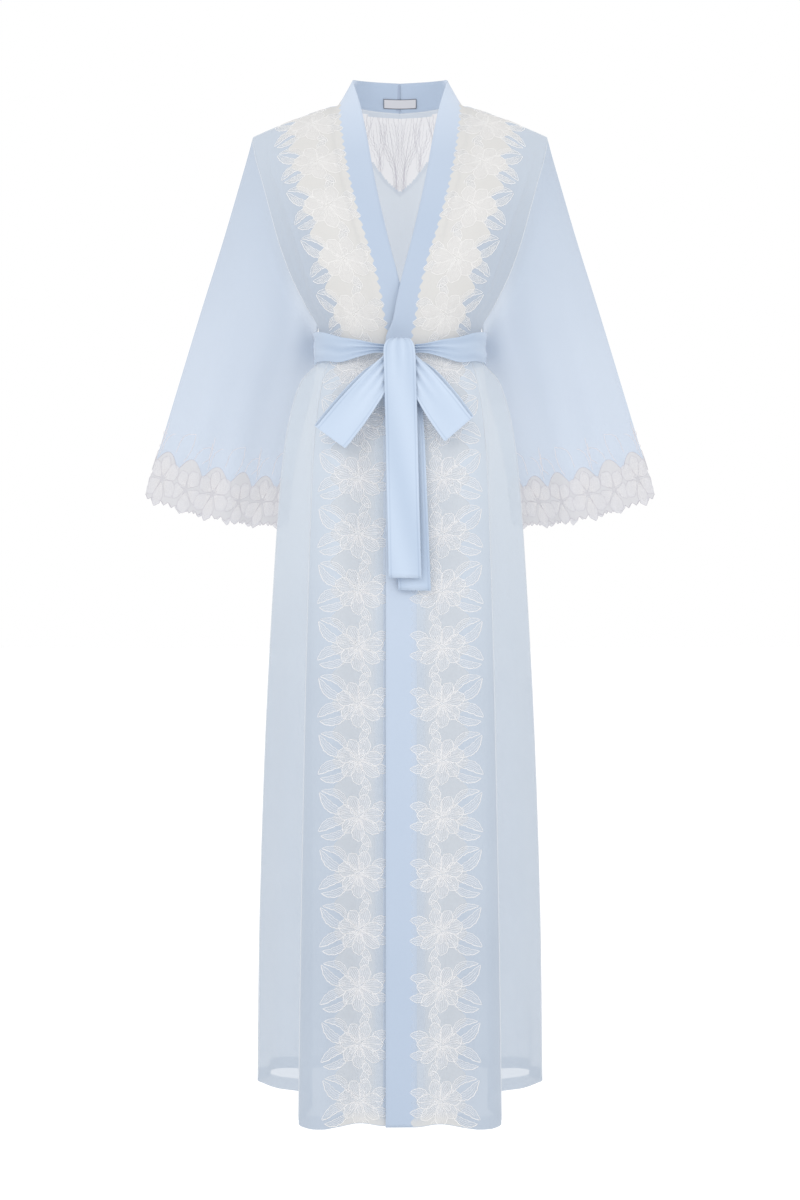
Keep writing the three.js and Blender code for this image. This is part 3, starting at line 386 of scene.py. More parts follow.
# ---- The body ----
ROW_STEPS = [42, 42, 33, 28, 13, 9, 6, 5, 5, 5, 6, 7, 7, 8, 8, 8, 8, 6]
BAND_STEPS = 8
PANEL_STEPS = [6, 9, 7, 11, 12, 8, 7]
BACK_STEPS = [10, 12, 16, 32]
ROWS = stops(ROW_STEPS)
UNDERARM = sum(ROW_STEPS[:10])
TOP = len(ROWS) - 1
BACK_FLUTES = {"depth": 13, "count": 2.5, "fades": 1000}
FOLD_ROOM = 12, 25  # folds fade over this much cloth at their start column and at the far edge


def front_rails():
    rails = []
    for height, band_y, *rest in FRONT_SKIRT:
        places = [(x, y, height) for x, y in zip(rest[::2], rest[1::2])]
        rails.append([(-OVERLAP_X, band_y - 1, height), (BAND_X, band_y, height), *places])
    t = np.array(BODICE_SHARES)[:, None]
    for edge, seam, chest, arm in np.array(FRONT_BODICE, float):
        across = (1 - t) * (1 - 2 * t) * seam + 4 * t * (1 - t) * chest + t * (2 * t - 1) * arm
        rails.append([edge, *across])
    return np.array(rails, float)


def front_grid():
    rails = front_rails()
    columns = stops([BAND_STEPS, *PANEL_STEPS])
    grid = over(rails, ROWS, columns)
    # the band lies flat between its free edge and its seam
    share = np.linspace(0, 1, BAND_STEPS + 1)[None, :, None]
    grid[:, : BAND_STEPS + 1] = grid[:, :1] * (1 - share) + grid[:, BAND_STEPS : BAND_STEPS + 1] * share
    grid[TOP, BAND_STEPS:, 1] = SHOULDER_Y
    return grid


def under(grid):
    """The right front: the mirror image, moved in where it lies under the left one."""
    rows = np.arange(len(grid))[:, None]
    columns = np.arange(grid.shape[1])[None]
    low = UNDERARM + ROW_STEPS[10]
    high = low + sum(ROW_STEPS[11:15])
    by_row = 1 - smooth((rows - low) / (high - low))
    from_column, to_column = BAND_STEPS + PANEL_STEPS[0] / 2, BAND_STEPS + sum(PANEL_STEPS[:2])
    by_column = 1 - smooth((columns - from_column) / (to_column - from_column))
    moved = mirrored(grid)
    moved[..., 1] += UNDERLAP * by_row * by_column
    return moved


def back_grid(front):
    rails = []
    for (height, *_, seam_x, seam_y), (hx, hy, bx, by, mx, my, cy) in zip(FRONT_SKIRT, BACK_SKIRT):
        rails.append([(seam_x, seam_y, height), (hx, hy, height), (bx, by, height), (mx, my, height), (0, cy, height)])
    for ax, ay, az, hx, hy, bx, by, mx, my, cy, cz in BACK_BODICE:
        at = lambda x: cz + (az - cz) * (x / ax) ** 2
        rails.append([(ax, ay, az), (hx, hy, at(hx)), (bx, by, at(bx)), (mx, my, at(mx)), (0, cy, cz)])
    u = stops(BACK_STEPS)
    across = [through(rail, u) for rail in rails]
    shoulder = front[TOP, BAND_STEPS:][::-1]
    neck = np.array([shoulder[-1], *[seam for _, seam in NECK]], float)
    share = u / 2
    top = np.where(
        (share <= 1)[:, None],
        through(shoulder, np.minimum(share, 1) * (len(shoulder) - 1)),
        through(neck, np.maximum(share - 1, 0) * (len(neck) - 1)),
    )
    half = through(np.stack([*across, top]), ROWS)
    share = (u / len(BACK_STEPS))[None, :]
    fade = np.maximum(0, 1 - half[..., 2] / BACK_FLUTES["fades"]) ** 1.4
    wave = np.sin(np.pi * share) ** 0.5 * np.cos(2 * np.pi * BACK_FLUTES["count"] * share)
    out = unit(half * [1, 1, 0])
    half = half + out * (BACK_FLUTES["depth"] * fade * wave)[..., None]
    return np.concatenate([half, mirrored(half[:, :-1][:, ::-1])], axis=1)


def body_outward(grid):
    field = grid.copy()
    field[..., 2] = np.where(grid[..., 2] > SHOULDER_START, 60, 0)
    return field


def creased(grid, start, table):
    """A grid with soft folds: each runs from one (across, height) to another, with its width and depth.

    across is counted from the start column, and the folds die out at that column and at the far edge.
    """
    normals = normals_of(grid, body_outward(grid))
    across = across_of(grid)
    across -= across[:, start : start + 1]
    room = smooth(across / FOLD_ROOM[0]) * smooth((across[:, -1:] - across) / FOLD_ROOM[1])
    offset = np.zeros(across.shape)
    for (low_out, low), (high_out, high), width, depth in table:
        share = (grid[..., 2] - low) / (high - low)
        off_line = across - (low_out + (high_out - low_out) * share)
        offset += depth * np.exp(-((off_line / width) ** 2)) * smooth(3 * share) * smooth(3 * (1 - share))
    return grid + normals * (offset * room)[..., None]


# Soft folds of the fronts: the long ones of the skirt, the folds below and above the sash, and the one
# where the bodice turns to the side.
LEFT_FOLDS = [
    ((168, -300), (150, 880), 9, -2.4), ((196, -300), (170, 760), 12, 2.6), ((232, -300), (196, 700), 10, -2.6),
    ((118, -300), (104, 420), 7, 1.6), ((86, -300), (80, 330), 8, -1.5), ((150, 700), (118, 1062), 6, 1.8),
    ((66, 930), (58, 1062), 4, -1.2), ((88, 900), (78, 1062), 4, 1.2), ((104, 930), (96, 1062), 4, -1.2),
    ((98, 1090), (112, 1385), 5, 2.6), ((112, 1090), (124, 1330), 7, -2.2), ((70, 1100), (84, 1185), 5, -1.2),
    ((46, 1100), (52, 1165), 4, 0.9),
]
RIGHT_FOLDS = [
    ((172, -300), (148, 820), 10, -2.6), ((204, -300), (176, 800), 11, 2.4), ((240, -300), (200, 640), 10, -2.2),
    ((112, -300), (106, 480), 7, 1.4), ((80, -300), (78, 280), 8, -1.4), ((152, 640), (120, 1062), 6, 1.8),
    ((60, 940), (56, 1062), 4, -1.1), ((84, 910), (76, 1062), 4, 1.2), ((102, 920), (98, 1062), 4, -1.1),
    ((97, 1090), (110, 1400), 5, 2.8), ((112, 1090), (126, 1340), 7, -2.4), ((74, 1100), (80, 1200), 5, -1.1),
    ((50, 1100), (54, 1150), 4, 0.9),
]
BACK_FOLDS = [
    ((70, -300), (60, 860), 11, 2.4), ((130, -300), (96, 700), 12, -2.6), ((420, -300), (300, 780), 12, 2.4),
    ((500, -300), (340, 640), 12, -2.6), ((90, 900), (92, 1062), 6, -1.8), ((190, 900), (150, 1062), 6, 1.8),
    ((230, 900), (190, 1062), 6, -1.6), ((110, 1105), (90, 1290), 8, -2), ((230, 1105), (250, 1320), 8, -1.8),
]
left = front_grid()
right = under(left)
back = creased(back_grid(left), 0, BACK_FOLDS)
left = creased(left, BAND_STEPS, LEFT_FOLDS)
right = creased(right, BAND_STEPS, RIGHT_FOLDS)
left_normals = normals_of(left, body_outward(left))
right_normals = normals_of(right, body_outward(right))
back_normals = normals_of(back, body_outward(back))
FRONTS = [("left", left, left_normals), ("right", right, right_normals)]


HEM_ROWS, HEM_OFFSET = 4, 0.6  # the turned hem is this many rows high, and this far inside the cloth
PANEL_EDGE = sum(PANEL_STEPS[:3])  # the column of the fold where the front panel turns to the side
DOUBLED_TOP = 1050  # below this the front cloth is doubled out to that fold
# Painted shade and light of the sheer cloth by height: darker at the hem, lightest just below the sash, darkest just
# above it, lighter again towards the shoulders.
CLOTH_SHADE_BY_HEIGHT = [
    *[(0, 0.66), (250, 0.63), (600, 0.5), (950, 0.1), (1060, 0.15)],
    *[(1110, 0.9), (1220, 0.85), (1330, 0.6), (1440, 0.5)],
]
# Painted shade and light of the band by height: darkest at the hem and on the chest, lighter just below the sash,
# lightest at the neck.
BAND_SHADE_BY_HEIGHT = [(0, 0.95), (300, 0.8), (700, 0.55), (1000, 0.3), (1100, 0.8), (1250, 0.9), (1350, 0.7), (1440, 0.1)]


def dress_panel(cloth, grid, normals, node, **sheet):
    """Dresses a panel's sheer cloth, with a second layer inside its lowest rows for the turned hem."""
    hem = sheet_piece(f"{node}_hem", (grid - normals * HEM_OFFSET)[:HEM_ROWS])
    dress(airy(hem), HEM, "cloth", node)
    dress(airy(cloth), CHIFFON, "cloth", node, held="hung", rests_on=[node], with_pieces=[hem], **sheet)


for side, grid, normals in FRONTS:
    panel, out = grid[:, BAND_STEPS:], normals[:, BAND_STEPS:]
    doubled = (np.arange(panel.shape[1]) <= PANEL_EDGE) * (panel[..., 2] < DOUBLED_TOP)
    # painted shade by height, and a real darker colour where the front is doubled
    layers = {"tone_and_shade": shade_by_height(panel[..., 2], CLOTH_SHADE_BY_HEIGHT) + 0.1 * doubled, "dense": doubled}
    cloth = sheet_piece(f"front_{side}_cloth", panel, layers)
    dress_panel(cloth, panel, out, f"front_{side}", flat=(0.40, 1.47), area=0.41)

SEAM_SIZE = 0.6
SEAM_LIFT = 0.5


def seam(name, line, outward, node):
    """A narrow raised edge of cloth along a line of points."""
    points, faces = tube(line + outward * SEAM_LIFT, outward, SEAM_SIZE, 5)
    run = run_of(line) / 1000
    uv = np.repeat(np.stack([run, 0 * run], -1), 5, axis=0)
    dress(airy(mesh_piece(name, points, faces, uv)), SEAM, "cloth", node)


for side, grid, normals in FRONTS:
    fold, low = BAND_STEPS + PANEL_EDGE, slice(1, UNDERARM - sum(ROW_STEPS[8:10]))
    seam(f"front_{side}_fold", grid[low, fold], normals[low, fold], f"front_{side}")
    seam(f"front_{side}_side_seam", grid[1:UNDERARM, -1], normals[1:UNDERARM, -1], f"front_{side}")
    seam(f"front_{side}_armhole", grid[UNDERARM + 2 : TOP, -1], normals[UNDERARM + 2 : TOP, -1], f"front_{side}")
    seam(f"front_{side}_shoulder", grid[TOP, BAND_STEPS + 1 :], normals[TOP, BAND_STEPS + 1 :], f"front_{side}")
for side, column in (("left", 0), ("right", -1)):
    rows = slice(UNDERARM + 2, TOP)
    seam(f"back_{side}_armhole", back[rows, column], back_normals[rows, column], "back")

# The back is cut away under its lace yoke: depths below the neck and shoulder seams, across half.
YOKE = [(0, 116), (24, 96), (45, 70), (62, 88), (84, 54), (100, 62), (120, 34), (137, 40), (150, 18)]
YOKE_OVERLAP, YOKE_TOP = 6, 8
YOKE_HALF, YOKE_OPEN_HALF = 149, 143  # half the width of the lace, and of the cut in the cloth under it


def yoke_depth(x):
    return np.interp(np.abs(x), [x for x, _ in YOKE], [depth for _, depth in YOKE])


seam_line = back[TOP][np.argsort(back[TOP, :, 0])]
fine = through(back, np.concatenate([np.arange(UNDERARM), np.arange(UNDERARM, TOP, 1 / 2), [TOP]]))
below_seam = np.interp(fine[..., 0], seam_line[:, 0], seam_line[:, 2]) - fine[..., 2]
shallowest = np.min([yoke_depth(np.abs(fine[..., 0]) + step) for step in (-4, 0, 4)], axis=0)
open_back = (np.abs(fine[..., 0]) < YOKE_OPEN_HALF) & (below_seam > YOKE_TOP) & (below_seam < shallowest - YOKE_OVERLAP)
open_back &= fine[..., 1] > 12
# painted shade by height, as on the fronts
back_cloth = sheet_piece("back_cloth", fine, {"tone_and_shade": shade_by_height(fine[..., 2], CLOTH_SHADE_BY_HEIGHT)}, ~open_back)
dress_panel(back_cloth, back, back_normals, "back", flat=(0.76, 1.47), area=0.78)


# ---- The band ----
def band_grid(grid, side):
    share = np.linspace(0, 1, BAND_STEPS + 1)[:, None]
    ends = [grid[TOP, : BAND_STEPS + 1]]
    for edge, seam in np.array(NECK, float):
        flip = np.array([side, 1, 1])
        ends.append(edge * flip * (1 - share) + seam * flip * share)
    rows = through(np.stack(ends), stops([10] * len(NECK))[1:])
    return np.concatenate([grid[:, : BAND_STEPS + 1], rows])


for name, grid, side in (("left", left, 1), ("right", right, -1)):
    strip = band_grid(grid, side)
    facing = np.where(strip[..., 1:2] > 0, strip * [1, 1, 0] + [0, 20, 10], strip * [1, 5, 0] + [0, -200, 50])
    out = normals_of(strip, facing)
    # painted shade by height, and painted shade on the band inside the back of the neck
    tones = np.maximum(shade_by_height(strip[..., 2], BAND_SHADE_BY_HEIGHT), smooth((strip[..., 1] - 10) / 20))
    band = folded_piece(f"band_{name}_cloth", strip - out * 0.7, out, 1.2, {"tone_and_shade": tones})
    dress(
        band, BAND, "band", f"band_{name}",
        flat=(0.085, 1.66), held="hung", rests_on=[f"front_{name}_cloth", "back_cloth"], area=0.075,
    )

# ---- The sleeves ----
SLEEVE_STEPS = 70
SLEEVE_LENGTH = 0.965
SLEEVE_REACH = 1.05
SLEEVE_LENS = {"front": 40, "back": 34, "sag": 15, "power": 0.8}
SLEEVE_FOLDS = {"depth": 5, "count": 3}


def armhole(front, behind):
    """Points round one armhole: down the front from the shoulder, then up the back."""
    return np.concatenate([front[UNDERARM:, -1][::-1], behind[UNDERARM:][1:-1]])


def sleeve_grid(ring, side, front_count):
    table = np.array([[share, *outer, *inner] for share, outer, inner in SLEEVE], float)
    start, end = table[0, 1:4] * [side, 1, 1], table[0, 4:7] * [side, 1, 1]
    chord = end - start
    shares = np.clip(((ring - start) @ chord) / (chord @ chord), 0, 1)
    strays = ring - (start + shares[:, None] * chord)
    rows = []
    for share in np.linspace(0, SLEEVE_REACH, SLEEVE_STEPS + 1):
        i = np.clip(np.searchsorted(table[:, 0], share, side="right") - 1, 0, len(table) - 2)
        t = i + (share - table[i, 0]) / (table[i + 1, 0] - table[i, 0])
        outer = through(table[:, 1:4], np.array([t]))[0] * [side, 1, 1]
        inner = through(table[:, 4:7], np.array([t]))[0] * [side, 1, 1]
        bow = np.sin(np.pi * shares) ** SLEEVE_LENS["power"]
        fold = SLEEVE_FOLDS["depth"] * share * np.sin(2 * np.pi * SLEEVE_FOLDS["count"] * shares) * bow
        is_front = np.arange(len(ring)) <= front_count
        depth = np.where(is_front, -SLEEVE_LENS["front"], SLEEVE_LENS["back"])
        lens = np.stack([0 * bow, depth * bow + fold, -SLEEVE_LENS["sag"] * bow], -1)
        line = outer + (inner - outer) * shares[:, None]
        rows.append(line + strays * (1 - share) + lens * share)
    return np.array(rows)


sleeves = {}
for name, front, column, side in (("left", left, 0, 1), ("right", right, -1, -1)):
    ring = armhole(front, back[:, column])
    grid = sleeve_grid(ring, side, TOP - UNDERARM)
    middle = grid.mean(axis=1, keepdims=True)
    out = normals_of(grid, grid - middle, closed=True)
    last = int(round(SLEEVE_LENGTH / SLEEVE_REACH * SLEEVE_STEPS))
    sleeves[name] = grid, out
    ring_closed = np.concatenate([grid, grid[:, :1]], axis=1)[: last + 1]
    turn = np.abs(np.linspace(-1, 1, ring_closed.shape[1]))[None]  # 1 at the outer line, 0 at the fold
    rows_down = np.linspace(0, 1, len(ring_closed))[:, None]
    # painted light along the inner fold, painted shade below the shoulder and painted light towards the cuff
    tones = 0.45 - 1.3 * smooth(1 - turn * 3.2) + 0.25 * smooth(1 - rows_down * 3) - 0.5 * smooth(rows_down)
    cloth = sheet_piece(f"sleeve_{name}_cloth", ring_closed, {"tone_and_shade": tones})
    dress(
        airy(cloth), SLEEVING, "cloth", f"sleeve_{name}",
        flat=(0.6, 0.53), held="hung", rests_on=[f"front_{name}_cloth", "back_cloth"], area=0.18,
    )


# ---- Flower lace ----
def stem(root, heading, length, bend=0, sway=0):
    """Nine points of a line that leaves root at a heading and bends and sways by so many degrees."""
    t = np.linspace(0, 1, 9)
    angle = np.radians(heading + bend * t + sway * np.sin(2 * np.pi * t))
    along = np.stack([np.cos(angle), np.sin(angle)], -1)
    return np.array(root, float) + np.concatenate([[[0, 0]], np.cumsum(along[:-1] + along[1:], 0) * length / 16]), along


def blade(root, heading, length, width, bend=0, sway=0, blunt=1.0):
    """The two edges of a petal or leaf about a stem; blunt under 1 puts its widest place near the root."""
    line, along = stem(root, heading, length, bend, sway)
    half = width / 2 * np.sin(np.pi * np.linspace(0, 1, 9) ** blunt).clip(0) ** 0.8
    aside = np.stack([-along[:, 1], along[:, 0]], -1) * half[:, None]
    return line + aside, line - aside


def bloom(count, length, width, turned, stitches, fill):
    """A ring of petals, uneven in heading, length and width, every other one on top."""
    petals = []
    for k in range(count):
        heading = turned + 360 * k / count + 5 * np.sin(3 * k)
        root = 3 * np.cos(np.radians(heading)), 3 * np.sin(np.radians(heading))
        size = length + 0.1 * length * np.sin(5 * k), width + 0.09 * width * np.cos(4 * k)
        petals.append((*blade(root, heading, *size, 14 * np.cos(2 * k), 5, 1.35), (1, 1), stitches, fill, 1 + k % 2))
    return petals


# One flower about its centre, in millimetres (out from the band seam, up): four long leaves outwards, four
# small blades, and two rings of petals. Each is (edge, other edge, cord weights, stitch lines, fill, layer).
FLOWER = [
    (*blade((16, 12), 62, 50, 10, -58, 10), (0.7, 1.2), 3, 0.15, 0),
    (*blade((20, 5), 24, 50, 12, 30, -12), (0.7, 1.2), 3, 0.15, 0),
    (*blade((20, -4), -8, 44, 13, -24, 14), (0.7, 1.2), 4, 0.2, 0),
    (*blade((16, -13), -46, 44, 10, 62, 0), (0.7, 1.2), 3, 0.15, 0),
    (*blade((-4, 22), 100, 24, 11, 40), (0.9, 1), 3, 0.3, 0),
    (*blade((-6, -22), -104, 24, 11, -40), (0.9, 1), 3, 0.3, 0),
    (*blade((-20, 12), 160, 26, 12, 24), (0.8, 0.9), 3, 0.3, 0),
    (*blade((-20, -10), 196, 26, 12, -24), (0.8, 0.9), 3, 0.3, 0),
    *bloom(7, 32, 19, 13, 5, 0.4),
    *bloom(5, 15, 8, 40, 2, 0.6),
]
# Single cords: a ring at the centre, five stamens, and one tendril to the band.
turns = np.linspace(0, 2 * np.pi, 9)
CORDS = [
    np.stack([3 * np.cos(turns), 3 * np.sin(turns)], -1),
    *[stem((0, 0), 20 + 72 * k, 11, 30)[0] for k in range(5)],
    stem((-22, 2), 172, 22, -40, 30)[0],
]
CENTRE = (32, 36)  # of the first flower: up the seam from the hem, and out from the seam
NET_OUTER, NET_WAVE = 67, 8  # the net's outer edge: two soft lobes to a flower
NET_INNER, SCALLOP, SCALLOP_PITCH = -3, 5.5, 13  # its inner edge: six scallops to a flower
# How far out from the seam the lace reaches, at heights up the seam.
LACE_REACH = [(0, 200), (1090, 200), (1100, 93), (1240, 97), (1262, 130), (1330, 142), (1380, 160)]
LACE_SPAN = -42, 170  # distances out from the seam that can be looked up
LACE_MARGIN = 6  # kept clear at the side of the cloth
LACE_LIFT = 0.9
LAYER = 0.35
CORD = 0.6
STITCH_SIZE = 0.26
SIDES = 3  # of a cord or a stitch; an edge cord has one more
CORD_LIFT, STITCH_LIFT, SINGLE_LIFT = 0.3, 0.75, 1.1  # of edges, stitches and single cords, over the petals
DOME, DOME_REACH = 0.6, 3  # a petal rises by this much, at about this far in from its edge
NET_FILL = 0.9
CORD_SPACING = 1.8  # between points along an edge cord
PITCH = 2.2  # between points along a cord
FILL_PITCH = 4.5  # between points inside a petal


class Surface:
    """Looks up points and normals of a grid by millimetres up its seam column and out from it."""

    def __init__(self, grid, normals, seam, low, high):
        self.grid, self.normals, self.low = grid, normals, low
        self.up = run_of(grid[:, seam])
        along = across_of(grid)
        along -= along[:, seam : seam + 1]
        self.columns = np.stack([np.interp(np.arange(low, high + 1), row, np.arange(len(row))) for row in along])
        self.widths = along[:, -1]

    def at(self, up, out):
        r = np.clip(np.interp(up, self.up, np.arange(len(self.up))), 0, len(self.up) - 1.001)
        k = np.clip(out - self.low, 0, self.columns.shape[1] - 1.001)
        r0, k0 = r.astype(int), k.astype(int)
        r_part, k_part = (r - r0)[:, None], k - k0
        found = []
        for source in (self.grid, self.normals):
            rows = []
            for row in (r0, r0 + 1):
                c = self.columns[row, k0] * (1 - k_part) + self.columns[row, k0 + 1] * k_part
                c = np.clip(c, 0, source.shape[1] - 1.001)
                c0 = c.astype(int)
                part = (c - c0)[:, None]
                rows.append(source[row, c0] * (1 - part) + source[row, c0 + 1] * part)
            found.append(rows[0] * (1 - r_part) + rows[1] * r_part)
        return found[0], unit(found[1])


class UpperBack:
    """Looks up points and normals of the back above the waist by height and by distance across."""

    def __init__(self, grid, normals):
        self.x = np.arange(-160.0, 161.0)
        grid, normals = grid[:, ::-1], normals[:, ::-1]
        read = lambda row, values: np.stack([np.interp(self.x, row[:, 0], values[:, k]) for k in range(3)], -1)
        self.points = np.stack([read(row, row) for row in grid])
        self.normals = np.stack([read(row, other) for row, other in zip(grid, normals)])

    def at(self, up, out):
        found = []
        for z, x in zip(up, out):
            k = int(round(np.clip(x, -160, 160))) + 160
            heights = self.points[:, k, 2]
            r = np.clip(np.interp(z, heights, np.arange(len(heights))), 0, len(heights) - 1.001)
            r0 = int(r)
            both = [rows[r0, k] * (1 - r + r0) + rows[r0 + 1, k] * (r - r0) for rows in (self.points, self.normals)]
            both[0] = np.array([x, both[0][1], both[0][2]])
            found.append(both)
        found = np.array(found)
        return found[:, 0], unit(found[:, 1])


class Collected:
    """Points and faces of many small parts, for one mesh."""

    def __init__(self):
        self.points, self.faces, self.uv, self.layers, self.count = [], [], [], [], 0

    def add(self, points, faces, uv, dense, tone_and_shade):
        self.faces.append(np.asarray(faces) + self.count)
        self.points.append(points)
        self.uv.append(uv)
        self.layers.append(np.stack([np.broadcast_to(v, len(points)) for v in (dense, tone_and_shade)], -1))
        self.count += len(points)

    def piece(self, name):
        faces = [f for group in self.faces for f in group.tolist()]
        dense, tone_and_shade = np.concatenate(self.layers).T
        layers = {"dense": dense, "tone_and_shade": tone_and_shade}
        return mesh_piece(name, np.concatenate(self.points), faces, np.concatenate(self.uv), layers)


def filled(outline, pitch):
    """A flat outline cut into triangles with points inside: (points, triangles, distance to the edge)."""
    low, high = outline.min(0), outline.max(0)
    xs, ys = np.meshgrid(np.arange(low[0] + pitch / 2, high[0], pitch), np.arange(low[1] + pitch / 2, high[1], pitch))
    xs = xs + (np.arange(len(xs)) % 2)[:, None] * pitch / 2
    inside = np.stack([xs.ravel(), ys.ravel()], -1)
    gap = np.linalg.norm(inside[:, None] - outline[None], axis=-1).min(1)
    a, b = outline, np.roll(outline, -1, axis=0)
    x, y = inside[:, :1], inside[:, 1:]
    cross = (a[:, 1] > y) != (b[:, 1] > y)
    with np.errstate(divide="ignore", invalid="ignore"):
        hits = cross & (x < (b[:, 0] - a[:, 0]) * (y - a[:, 1]) / (b[:, 1] - a[:, 1]) + a[:, 0])
    keep = (hits.sum(1) % 2 == 1) & (gap > pitch * 0.45)
    points = np.concatenate([outline, inside[keep]])
    edges = [(i, (i + 1) % len(outline)) for i in range(len(outline))]
    result = delaunay_2d_cdt([tuple(p) for p in points], edges, [list(range(len(outline)))], 1, 1e-4)
    verts = np.array([tuple(v) for v in result[0]])
    tris = np.array([f for f in result[2] if len(f) == 3])
    edge = np.linalg.norm(verts[:, None] - outline[None], axis=-1).min(1)
    return verts, tris, edge


def respaced(line, step=None, count=None):
    """A line read again at even steps, or at a number of places."""
    run = run_of(line)
    count = count or max(4, int(round(run[-1] / step)) + 1)
    at = np.linspace(0, run[-1], count)
    return np.stack([np.interp(at, run, line[:, k]) for k in range(2)], -1)


def curve(points, step=PITCH, count=None):
    return respaced(through(np.array(points, float), np.linspace(0, len(points) - 1, 12 * len(points))), step, count)


def wavy(line, seed, depth=0.4):
    """The line with a small hand-stitched waver that leaves its ends alone."""
    run = run_of(line)
    along = unit(np.gradient(line, axis=0))
    side = np.stack([-along[:, 1], along[:, 0]], -1)
    waver = np.sin(run / 1.5 + seed) + 0.7 * np.sin(run / 0.83 + 2.3 * seed)
    return line + side * (depth * waver * np.sin(np.pi * np.clip(run / run[-1], 0, 1)) ** 0.5)[:, None]


def prepared(blades):
    """Outlines, fills, edges and stitch lines of blades, made once for all repeats."""
    found = []
    for seed, (first, second, weights, count, fill, layer) in enumerate(blades):
        edges = [wavy(curve(first), seed), wavy(curve(second), seed + 0.5)]
        rim = np.concatenate([edges[0], edges[1][::-1]])
        rim = rim[np.linalg.norm(rim - np.roll(rim, 1, axis=0), axis=1) > 0.5]
        a, b = curve(first, count=24), curve(second, count=24)
        lines = []
        for k in range(3 * count + 2):
            f = (k + 1) / (3 * count + 3)
            end = int(23 * (0.96 - 0.3 * abs(2 * f - 1)))
            line = respaced((a * (1 - f) + b * f)[1:end], PITCH * 1.9)
            lines.append((wavy(line, seed + k, 0.22), k % 3 == 2 or count == 1))
        found.append((edges, weights, filled(rim, FILL_PITCH), lines, fill, layer))
    return found


def runs(flags):
    """Starts and ends of the stretches where flags hold."""
    edges = np.flatnonzero(np.diff(np.concatenate([[0], flags.astype(int), [0]])))
    return zip(edges[::2], edges[1::2])


class Lace:
    """A ground of net with petals, stitches and cords, laid over a surface where inside() allows."""

    def __init__(self, surface, inside, density, placed=lambda flat: flat, cord=CORD):
        self.surface, self.inside, self.density, self.placed = surface, inside, density, placed
        self.cord = cord
        self.ground, self.petals, self.cords, self.stitches = (Collected() for _ in range(4))

    def fill(self, into, flat, faces, lift, base, layer=1):
        flat, faces = self.placed(flat), np.asarray(faces)
        ok = self.inside(flat[:, 1], flat[:, 0])
        faces = faces[ok[faces].all(1)]
        if not len(faces):
            return
        used, faces = compacted(faces, len(flat))
        points, normals = self.surface.at(flat[used, 1], flat[used, 0])
        dense = self.density(flat[used, 1]) * (layer > 0)
        lift = np.broadcast_to(lift, len(flat))[used][:, None]
        base = np.broadcast_to(base, len(flat))[used]
        into.add(points + normals * lift, faces, flat[used] / 1000, base + (1 - base) * dense, 1 - dense)

    def net(self, low, high, columns, rows, lift):
        """Fills the ground between two edges, given at each of the columns."""
        shares = np.linspace(0, 1, rows)[:, None]
        flat = np.stack([np.repeat(columns[None], rows, 0), low * (1 - shares) + high * shares], -1)
        self.fill(self.ground, flat.reshape(-1, 2), grid_faces(rows, len(columns)), lift, NET_FILL)

    def draw(self, into, line, lift, radius, sides=SIDES):
        line = self.placed(line)
        ok = self.inside(line[:, 1], line[:, 0])
        for a, b in runs(ok):
            if b - a < 3:
                continue
            points, normals = self.surface.at(line[a:b, 1], line[a:b, 0])
            radius = radius * (1 - 0.25 * self.density(line[a : a + 1, 1])[0])
            ring, faces = tube(points + normals * lift, normals, radius, sides)
            uv = np.repeat(np.stack([np.arange(b - a) * 0.0022, np.zeros(b - a)], -1), sides, axis=0)
            into.add(ring, faces, uv, 1, 1 - np.repeat(self.density(line[a:b, 1]), sides))

    def edge_cord(self, columns, edge, weight=1):
        line = respaced(np.stack([columns, edge], -1), CORD_SPACING)
        self.draw(self.cords, line, LACE_LIFT + CORD_LIFT, CORD * weight, SIDES + 1)

    def motif(self, blades, cords, place):
        shift = np.array(place, float)
        for edges, weights, (verts, tris, edge), lines, fill, layer in blades:
            base = LACE_LIFT + LAYER * layer
            self.fill(self.petals, verts + shift, tris, base + DOME * (1 - np.exp(-edge / DOME_REACH)), fill, layer)
            for line, weight in zip(edges, weights):
                self.draw(self.cords, line + shift, base + CORD_LIFT, self.cord * weight)
            for line, always in lines:
                line = line + shift
                if always or self.density(line[:1, 1])[0] > 0.5:
                    self.draw(self.stitches, line, base + STITCH_LIFT, STITCH_SIZE)
        for line in cords:
            self.draw(self.cords, line + shift, LACE_LIFT + SINGLE_LIFT, self.cord)


FLOWER_BLADES = prepared(FLOWER)
FLOWER_CORDS = [wavy(curve(line), k, 0.2) for k, line in enumerate(CORDS)]
GROUND_COLUMNS = 30


